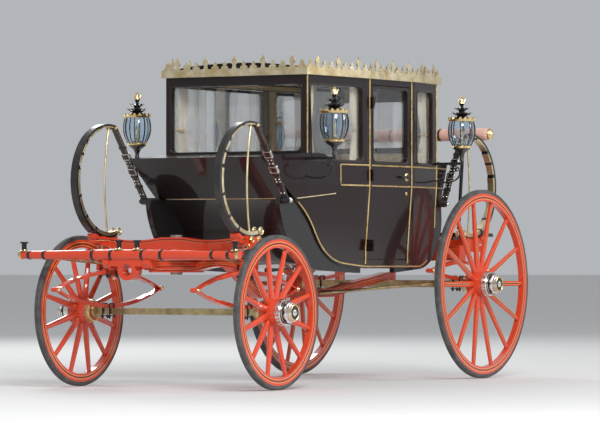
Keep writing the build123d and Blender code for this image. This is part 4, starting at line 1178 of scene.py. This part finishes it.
leaves, petals = bmesh.new(), bmesh.new()
for spot in lamp_spots:
    for shape, rings in ((leaves, leaf_rings), (petals, petal_rings)):
        for ring in rings:
            add_petals(shape, spot, *ring)
make("lamp_leaves", leaves, gilt)
make("lamp_petals", petals, black_iron)
turned("lamp_candles", candle, [(spot, (0, 0, 1)) for spot in lamp_spots], cream_cloth, 24)
beads("lamp_scrolls", [lamp_scroll(spot) for spot in lamp_spots], black_iron, 0.0070)
print("lamps dressed:", len(lamp_spots))

# %% [markdown]
# Through the windows the eye meets cream everywhere: a pleated headcloth under the roof, cloth
# boards on the walls and doors, and silk curtains tied back at the corners. Each is fitted by
# rays sent out from the middle of the cabin, so none of them can stand outside the walls.

# %% Headcloth
inside = surface_of("tub", "cabin_frame", "roof", "door_left", "door_right")
wall_tree = surface_of("tub", "cabin_frame")
middle_y, head_height, edge_height, head_gap = aft(1.74), 2.150, 2.215, 0.004
cloth_drop, pleat_depth, pleats, pleat_start = 0.010, 0.0035, 56, 0.03


def inner_wall(y, z, side, tree=inside):
    """How far out the cabin's wall is, seen from the middle."""
    return tree.ray_cast(Vector((0, y, z)), Vector((side, 0, 0)))[0].x


def roof_over(x, y):
    """The height of the roof's underside at a place."""
    return inside.ray_cast(Vector((x, y, head_height)), Vector((0, 0, 1)))[0].z


front_end, back_end = (
    inside.ray_cast(Vector((0, middle_y, edge_height)), Vector((0, way, 0)))[0].y - way * head_gap
    for way in (-1, 1))
shape = bmesh.new()
bmesh.ops.create_grid(shape, x_segments=84, y_segments=140, size=1.0)
for vert in shape.verts:
    y = front_end + (back_end - front_end) * (vert.co.y + 1) / 2
    x = vert.co.x * (inner_wall(y, edge_height, 1) - head_gap)
    far = hypot(x, y - middle_y)
    pleat = pleat_depth * cos(pleats * atan2(y - middle_y, x)) * min(1.0, far / 0.25)
    if far <= pleat_start:
        pleat = 0
    vert.co = (x, y, roof_over(x, y) - cloth_drop - pleat_depth - pleat)
bmesh.ops.reverse_faces(shape, faces=shape.faces[:])
headcloth = make("headcloth", shape, cream_silk, smooth=180)
rosette = ((0.0, 0.034), (0.014, 0.032), (0.022, 0.024), (0.030, 0.020), (0.044, 0.018), (0.050, 0.010),
           (0.050, 0.004), (0.0, 0.004))
rosette_at = Vector((0, middle_y, roof_over(0, middle_y) - head_gap))
turned("headcloth_rosette", rosette, [(rosette_at, (0, 0, -1))], gold_braid, smooth=50)

# %% [markdown]
# The wall boards are thin wood covered in the same cloth, edged with gold braid. A board starts
# as a flat grid, its points are pushed out to the wall, and the grid is then extruded inwards.
# Where it is a door's board it rides on the door, and swings out with it.

# %% Wall and door boards
board_thick, board_round, board_lift = 0.010, 0.004, 0.0005
strap_thin, strap_in, strap_low, strap_high = 0.0025, 0.016, 1.330, 1.618
board_foot, pillar_foot, pillar_top = 0.955, 1.605, 2.194


def wall_board(name, start, stop, low, high, side, body="coach", tree=wall_tree):
    """A cloth-covered board lying on the inside of a wall, with braid round it."""
    start, stop = aft(start), aft(stop)
    shape = bmesh.new()
    bmesh.ops.create_grid(shape, x_segments=22, y_segments=16, size=1.0)
    for vert in shape.verts:
        y = start + (stop - start) * (vert.co.x + 1) / 2
        z = low + (high - low) * (vert.co.y + 1) / 2
        vert.co = (inner_wall(y, z, side, tree) - side * board_lift, y, z)
    pushed = bmesh.ops.extrude_face_region(shape, geom=shape.faces[:], use_keep_orig=True)
    front = [v for v in pushed["geom"] if isinstance(v, bmesh.types.BMVert)]
    bmesh.ops.translate(shape, verts=front, vec=(-side * board_thick, 0, 0))
    bmesh.ops.recalc_face_normals(shape, faces=shape.faces[:])
    rim = [edge for edge in shape.edges if len(edge.link_faces) == 2 and edge.calc_face_angle(0) > 1.0
           and edge.verts[0] in front and edge.verts[1] in front]
    bmesh.ops.bevel(shape, geom=rim, offset=board_round, segments=3, profile=0.5,
                    affect="EDGES", material=-1)
    make(name, shape, cream_cloth, body, 35)
    inset = 0.22 * min(0.10, stop - start, high - low)
    y0, y1, z0, z1 = start + inset, stop - inset, low + inset, high - inset
    outline = through([(y0, z0), (y1, z0), (y1, z1), (y0, z1), (y0, z0)], 0.04)
    braid_in = side * (board_thick + 0.001)
    line = [Vector((inner_wall(y, z, side, tree) - braid_in, y, z)) for y, z in outline]
    beads(f"{name}_braid", [line], gold_braid, 0.0055, body)


for side_name, side in sides.items():
    door = f"{side_name}_door"
    door_tree = surface_of(f"door_{side_name}")
    wall_board(f"door_board_{side_name}", 1.665, 2.155, board_foot, 1.590, side, door, door_tree)
    wall_board(f"front_wall_board_{side_name}", 1.345, 1.575, board_foot, 1.600, side)
    wall_board(f"top_rail_board_{side_name}", 0.850, 2.630, 2.200, 2.236, side)
    wall_board(f"front_pillar_board_{side_name}", 1.512, 1.596, pillar_foot, pillar_top, side)
    wall_board(f"rear_pillar_board_{side_name}", 2.226, 2.312, pillar_foot, pillar_top, side)
    pull = inner_wall(aft(1.91), 1.600, side, door_tree) - side * strap_in
    strap = bmesh.new()
    add_block(strap, (pull - strap_thin, aft(1.895), strap_low),
              (pull + strap_thin, aft(1.925), strap_high), 0.001)
    make(f"window_strap_{side_name}", strap, gold_braid, door)
print("cabin boards fitted")

# %% [markdown]
# The floor between the seats has a wool carpet. It only lies there, so it is a sheet one layer
# thick, a few millimetres over the boards that rays find under it.

# %% Carpet
carpet_gap, carpet_half, carpet_lift = 0.020, 0.47, 0.004
carpet_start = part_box("front_cushion")[1][1] + carpet_gap
carpet_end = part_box("rear_cushion")[0][1] - carpet_gap
shape = bmesh.new()
bmesh.ops.create_grid(shape, x_segments=24, y_segments=24, size=1.0)
for vert in shape.verts:
    y = carpet_start + (carpet_end - carpet_start) * (vert.co.y + 1) / 2
    x = vert.co.x * min(carpet_half, inner_wall(y, 0.960, 1) - carpet_gap)
    ground = inside.ray_cast(Vector((x, y, 1.050)), Vector((0, 0, -1)))[0]
    vert.co = (x, y, ground.z + carpet_lift)
carpet = make("carpet", shape, carpet_wool, smooth=180)

# %% [markdown]
# A curtain is cut nearly twice as wide as the place it fills, and is gathered along its top. At
# each height its folds must use up the whole width of the silk, so they are deeper where the
# curtain is drawn in by its tie. The depth is found by halving until the wavy line is as long as
# the cut.

# %% Curtains
curtain_top, curtain_drop, curtain_cut, curtain_folds = 2.190, 0.560, 0.210, 7
curtain_wide, curtain_pinch, curtain_flare, tie_share = 0.120, 0.066, 0.012, 0.60
curtain_columns, curtain_rows, wave_steps = 84, 36, 60
off_wall, hem_out, off_pillar, pinch_reach = 0.024, 0.006, 0.008, 0.42
tie_off, tie_half, tie_tall, tie_near_wall, tie_far_wall = 0.035, 0.031, 0.011, 0.002, 0.046


def fold_depth(width):
    """The depth of a wave across a width that makes it as long as the curtain's cut."""
    low, high = 0.0, 0.05
    heights = [sin(2 * pi * curtain_folds * i / wave_steps) for i in range(wave_steps + 1)]
    for _ in range(18):
        depth = (low + high) / 2
        run = sum(hypot(width / wave_steps, depth * (b - a)) for a, b in zip(heights, heights[1:]))
        low, high = (depth, high) if run < curtain_cut else (low, depth)
    return depth


def curtain(name, edge, way, side):
    """Silk hung beside a window: edge is where it meets the pillar, way the direction it spreads."""
    shape = bmesh.new()
    bmesh.ops.create_grid(shape, x_segments=curtain_columns, y_segments=curtain_rows, size=1.0)
    rows = []
    for row in range(curtain_rows + 1):
        down = row / curtain_rows
        pinch = max(0.0, 1 - abs(down - tie_share) / pinch_reach) ** 2
        width = curtain_wide - curtain_pinch * pinch + curtain_flare * down
        rows.append((width, fold_depth(width)))
    inner = min(abs(inner_wall(edge + way * 0.05, z, side)) for z in (curtain_top, curtain_top + 0.02))
    for vert in shape.verts:
        across, down = (vert.co.x + 1) / 2, (1 - vert.co.y) / 2
        width, depth = rows[min(curtain_rows, round(down * curtain_rows))]
        x = side * (inner - off_wall + hem_out * down + depth * sin(2 * pi * curtain_folds * across))
        vert.co = (x, edge + way * (off_pillar + width * across), curtain_top - curtain_drop * down)
    piece = make(name, shape, cream_silk, smooth=180)
    tie = bmesh.new()
    y, z = edge + way * tie_off, curtain_top - curtain_drop * tie_share
    near, far = sorted((side * (inner - tie_far_wall), side * (inner - tie_near_wall)))
    add_block(tie, (near, y - tie_half, z - tie_tall), (far, y + tie_half, z + tie_tall), 0.006, 3)
    make(f"{name}_tie", tie, gold_braid, smooth=50)


for side_name, side in sides.items():
    for place, edge, way in (("front", 0.850, 1), ("middle", 1.560, -1), ("rear", 2.630, -1)):
        curtain(f"curtain_{place}_{side_name}", aft(edge), way, side)
print("curtains hung")

# %% [markdown]
# The running gear is painted wood, drawn over with fine lines like the wheels. A line keeps a
# constant distance from a timber's edge, so rays first find the edge from above and below, and
# a third ray, across the timber, finds the face that the line is drawn on.

# %% Lining the timbers
gold_gap, dark_radius, gold_radius = 0.0065, 0.0021, 0.0011
thinnest, line_lift, ray_start = 2.6, 0.0002, 3.0


def timber_lines(node, along, look, start, stop, across, inset, count=40):
    """Two lines on one face of a timber, at a constant distance from its top and bottom edges."""
    tree, look = surface_of(node), Vector(look)
    low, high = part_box(node)
    lines = ([], [])
    for i in range(count + 1):
        place = start + (stop - start) * i / count
        x, y = (place, across) if along == "x" else (across, place)
        over = tree.ray_cast(Vector((x, y, high[2] + 0.1)), Vector((0, 0, -1)))[0]
        under = tree.ray_cast(Vector((x, y, low[2] - 0.1)), Vector((0, 0, 1)))[0]
        if over is None or under is None or over.z - under.z < thinnest * inset:
            continue
        for line, z in zip(lines, (over.z - inset, under.z + inset)):
            face = tree.ray_cast(Vector((x, y, z)) - look * ray_start, look)[0]
            if face is not None:
                line.append(face - look * line_lift)
    return [line for line in lines if len(line) > 2]


timbers = (
    ("front_transom", "x", (0, 1, 0), -0.640, 0.640, aft(0.0), 0.015, "coach"),
    ("front_transom", "x", (0, -1, 0), -0.640, 0.640, aft(0.0), 0.015, "coach"),
    ("fore_bed", "x", (0, 1, 0), -0.630, 0.630, aft(0.0), 0.014, "forecarriage"),
    ("fore_bed", "x", (0, -1, 0), -0.630, 0.630, aft(0.0), 0.014, "forecarriage"),
    ("rear_bed", "x", (0, 1, 0), -0.700, 0.700, aft(3.0), 0.015, "coach"),
    ("rear_bed", "x", (0, -1, 0), -0.560, 0.560, aft(3.29), 0.015, "coach"),
    ("perch", "y", (1, 0, 0), aft(0.10), aft(2.93), 0.0, 0.013, "coach"),
    ("perch", "y", (-1, 0, 0), aft(0.10), aft(2.93), 0.0, 0.013, "coach"),
    ("futchells", "y", (-1, 0, 0), aft(-0.56), aft(0.40), 0.170, 0.011, "forecarriage"),
    ("futchells", "y", (1, 0, 0), aft(-0.56), aft(0.40), -0.170, 0.011, "forecarriage"),
)
for body in ("coach", "forecarriage"):
    for colour, finish, gap, radius in (("dark", black_iron, 0, dark_radius),
                                        ("gold", gilt, gold_gap, gold_radius)):
        lines = []
        for *run, inset, carrier in timbers:
            if carrier == body:
                lines += timber_lines(*run, inset + gap)
        beads(f"{colour}_lines_{body}", lines, finish, radius, body)
        print(colour, "lines on the", body, len(lines))

# %% [markdown]
# Smith's work holds the springs: two bolts bent like a U go round each axle and bed, with a
# plate and nuts below, and every spring end turns on a pin with a brass head. These small bright
# and black pieces are what a plain red carriage lacks when it is seen from close by.

# %% Spring bolts and pins
front_springs_x, rear_springs_x = 0.580, 0.622
bolt_reach, bolt_bend, plate_edge, plate_thick, nut_lift, pin_out = 0.030, 0.010, 0.014, 0.007, 0.004, 0.024
nut = ((0, 0), (0.0095, 0), (0.0105, 0.002), (0.0105, 0.009), (0.0095, 0.011), (0.0062, 0.011),
       (0.0055, 0.018), (0, 0.018))


def bent_bolts(rods, plates, x, y, low, high, half):
    """Two U bolts over a timber that runs across the coach, and the plate that they pull up."""
    for out in (-bolt_reach, bolt_reach):
        line = [Vector((x + out, y - half, low))]
        for corner, start in ((y - half + bolt_bend, 180), (y + half - bolt_bend, 90)):
            for turn in range(0, 91, 18):
                swing = radians(start - turn)
                line.append(Vector((x + out, corner + bolt_bend * cos(swing),
                                    high - bolt_bend + bolt_bend * sin(swing))))
        rods.append(line + [Vector((x + out, y + half, low))])
        for end in (y - half, y + half):
            add_turned(plates, nut, (x + out, end, low + nut_lift), (0, 0, -1), 6)
    far_x, far_y = bolt_reach + plate_edge, half + plate_edge
    add_block(plates, (x - far_x, y - far_y, low + nut_lift),
              (x + far_x, y + far_y, low + nut_lift + plate_thick), 0.002)


bolts = {
    "forecarriage": [(side * front_springs_x, aft(0), *rest) for side in sides.values()
                     for rest in ((0.500, 0.594, 0.031), (0.790, 0.915, 0.060))],
    "coach": [(side * rear_springs_x, aft(wheelbase), 0.676, 0.778, 0.034) for side in sides.values()],
}
pin_head = ((0, 0.017), (0.007, 0.0155), (0.012, 0.011), (0.0130, 0.006), (0.0155, 0.004), (0.0162, 0.001),
            (0.0155, 0), (0, 0))
pin_places = {
    "forecarriage": [(side * front_springs_x, aft(way * 0.656), 0.697)
                     for side in sides.values() for way in (1, -1)],
    "coach": [(side * rear_springs_x, aft(wheelbase + way * 0.436), 0.822)
              for side in sides.values() for way in (1, -1)],
}
for body in bolts:
    rods, plates = [], bmesh.new()
    for bolt in bolts[body]:
        bent_bolts(rods, plates, *bolt)
    beads(f"u_bolts_{body}", rods, black_iron, 0.0050, body)
    make(f"bolt_plates_{body}", plates, black_iron, body, 30)
for body, places in pin_places.items():
    heads = [((x + out * pin_out, y, z), (out, 0, 0)) for x, y, z in places for out in (1, -1)]
    turned(f"spring_pins_{body}", pin_head, heads, brass, 20, body)
print("spring bolts:", sum(len(places) for places in bolts.values()))

# %% [markdown]
# The splinter bar is the round bar that the traces pull on. Iron bands keep it from splitting
# beside each roller bolt, and its ends have brass ferrules. The bar tapers, so a band's size is
# worked out for its own place before it is turned.

# %% Splinter bar bands
bar_y, bar_z = aft(-0.615), 0.939
band_half, ferrule_place = 0.011, 0.905
collar = ((0.0184, -0.003), (0.0330, -0.003), (0.0330, 0.0010), (0.0290, 0.0050), (0.0230, 0.0070),
          (0.0215, 0.0110), (0.0184, 0.0115), (0.0184, -0.003))
ferrule = ((-0.003, -0.014), (0.0028, -0.014), (0.0036, -0.011), (0.0022, -0.006), (0.0026, 0.004),
           (0.0010, 0.0110))
ferrule_end = [(0.012, 0.0118), (0.0, 0.0118)]


def bar_radius(x):
    """The bar's radius at a place: 38 mm in the middle, tapering to 27 mm at the ends."""
    return 0.038 - 0.011 * max(0.0, (abs(x) - 0.200) / 0.717)


def band_profile(x):
    """A flat iron band whose two edges follow the bar's taper."""
    near, far = bar_radius(x - band_half), bar_radius(x + band_half)
    return ((near - 0.004, -band_half), (near + 0.0022, -band_half), (near + 0.0030, -0.009),
            (far + 0.0030, 0.009), (far + 0.0022, band_half), (far - 0.004, band_half),
            (near - 0.004, -band_half))


iron_bands, brass_bands = bmesh.new(), bmesh.new()
for side in sides.values():
    for x in (0.830, 0.700, 0.285, 0.130):
        add_turned(iron_bands, band_profile(x), (side * x, bar_y, bar_z), (side, 0, 0))
    tip = bar_radius(ferrule_place)
    add_turned(brass_bands, [(tip + rise, height) for rise, height in ferrule] + ferrule_end,
               (side * ferrule_place, bar_y, bar_z), (side, 0, 0))
for x in (-0.880, -0.075, 0.075, 0.880):
    add_turned(brass_bands, collar, (x, bar_y, bar_z + bar_radius(x)), steps=28)
bmesh.ops.recalc_face_normals(brass_bands, faces=brass_bands.faces[:])
make("splinter_bands", iron_bands, black_iron, "forecarriage", 40)
make("splinter_ferrules", brass_bands, brass, "forecarriage", 40)

# %% [markdown]
# Carvers finished the ends of the heavy timbers with volutes, the spiral of a rolled leaf. A
# spiral bead that grows thinner towards its eye reads as carving, and costs few faces.

# %% Volutes
volute_radius, volute_thick, volute_thinning, volute_closing = 0.0060, 1.15, 0.55, 0.80
transom = surface_of("front_transom")


def spiral(centre, right, up, size, turns):
    """A spiral of points round a centre, in the plane of two directions."""
    steps = round(turns * 22)
    line = []
    for i in range(steps + 1):
        swing, reach = 2 * pi * turns * i / steps, size * (1 - volute_closing * i / steps)
        line.append(Vector(centre) + Vector(right) * reach * cos(swing) + Vector(up) * reach * sin(swing))
    return line


def volutes(name, lines, finish):
    """Spiral beads on the coach, thinning towards their eyes."""
    beads(name, lines, finish, volute_radius, thick=volute_thick, thinning=volute_thinning)


saddle_volutes, scroll_ends = [], []
for side in sides.values():
    for way in (1, -1):
        face = transom.ray_cast(Vector((side * outside, aft(way * 0.045), 1.045)), Vector((-side, 0, 0)))[0]
        if face is not None:
            saddle_volutes.append(spiral(face, (0, way, 0), (0, 0, 1), 0.026, 1.6))
        front = transom.ray_cast(Vector((side * 0.615, aft(way * 1.0), 1.000)), Vector((0, -way, 0)))[0]
        if front is not None:
            saddle_volutes.append(spiral(front, (side, 0, 0), (0, 0, 1), 0.028, 1.6))
volutes("transom_volutes", saddle_volutes, gilt)
for place, way in spring_places.values():
    y, z = spring_point(place, way, 0.372, 289)
    for side in sides.values():
        for out in (-1, 1):
            eye = (side * spring_side + out * 0.0265, y, z)
            scroll_ends.append(spiral(eye, (0, way, 0), (0, 0, -1), 0.031, 1.8))
volutes("spring_scrolls", scroll_ends, pale_gilt)
print("volutes carved:", len(saddle_volutes) + len(scroll_ends))

# %% [markdown]
# The back of the body carries the same belts as its sides, and its small window the same dark
# fillet. Rays come from behind here, and where one meets no panel its point is left out.

# %% Back mouldings
back_window = (0.330, 1.760, 2.110)
back_corner = aft(2.680)


def back_line(places, lift=0.001):
    """A line laid on the body's back panel."""
    return [point for point in (on_end(x, z, 1, lift) for x, z in places) if point is not None]


reach = on_side(back_corner, upper_belt).x - 0.006
back_lines = [back_line([(-reach + 2 * reach * i / 24, z) for i in range(25)])
              for z in (upper_belt, lower_belt)]
beads("back_mouldings", back_lines, gilt, 0.0055)
half, low, high = back_window
fillet = back_line(fillet_outline(-half, half, low, high), -0.0005)
beads("window_fillet_back", [fillet], black_iron, fillet_radius)

# %% [markdown]
# The standing board at the back has a ribbed mat, held down by a brass strip along each edge.
# Every rib is the same small bar with rounded corners, set down in a row by a loop.

# %% Mat on the standing board
board_low, board_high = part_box("footboard")
mat_edge, rib_pitch, rib_half, rib_in = 0.030, 0.022, 0.0055, 0.008
strip_half, strip_gap, strip_past, pins = 0.008, 0.009, 0.017, 11
mat_top, rib_top, strip_top, sunk = 0.003, 0.0065, 0.0045, 0.001
x_low, x_high = board_low[0] + mat_edge, board_high[0] - mat_edge
y_low, y_high = board_low[1] + mat_edge, board_high[1] - mat_edge
top = board_high[2]
mat, strips = bmesh.new(), bmesh.new()
add_block(mat, (x_low, y_low, top - sunk), (x_high, y_high, top + mat_top))
rib_count = int((y_high - y_low - 0.010) / rib_pitch)
for i in range(rib_count):
    y = y_low + 0.016 + i * rib_pitch
    add_block(mat, (x_low + rib_in, y - rib_half, top + 0.002),
              (x_high - rib_in, y + rib_half, top + rib_top), 0.0022)
for x in (x_low - strip_gap, x_high + strip_gap):
    add_block(strips, (x - strip_half, y_low - strip_past, top - sunk),
              (x + strip_half, y_high + strip_past, top + strip_top), 0.0018)
pin = ((0.0, 0.0026), (0.0026, 0.0022), (0.0042, 0.0010), (0.0046, 0.0), (0.0, 0.0))
for y in (y_low - strip_gap, y_high + strip_gap):
    add_block(strips, (x_low - 0.001, y - strip_half, top - sunk),
              (x_high + 0.001, y + strip_half, top + strip_top), 0.0018)
    for i in range(pins):
        x = x_low + (x_high - x_low) * i / (pins - 1)
        add_turned(strips, pin, (x, y, top + 0.0040), steps=12)
make("footboard_mat", mat, black_leather, smooth=40)
make("footboard_strips", strips, brass, smooth=40)
print("mat ribs:", rib_count)
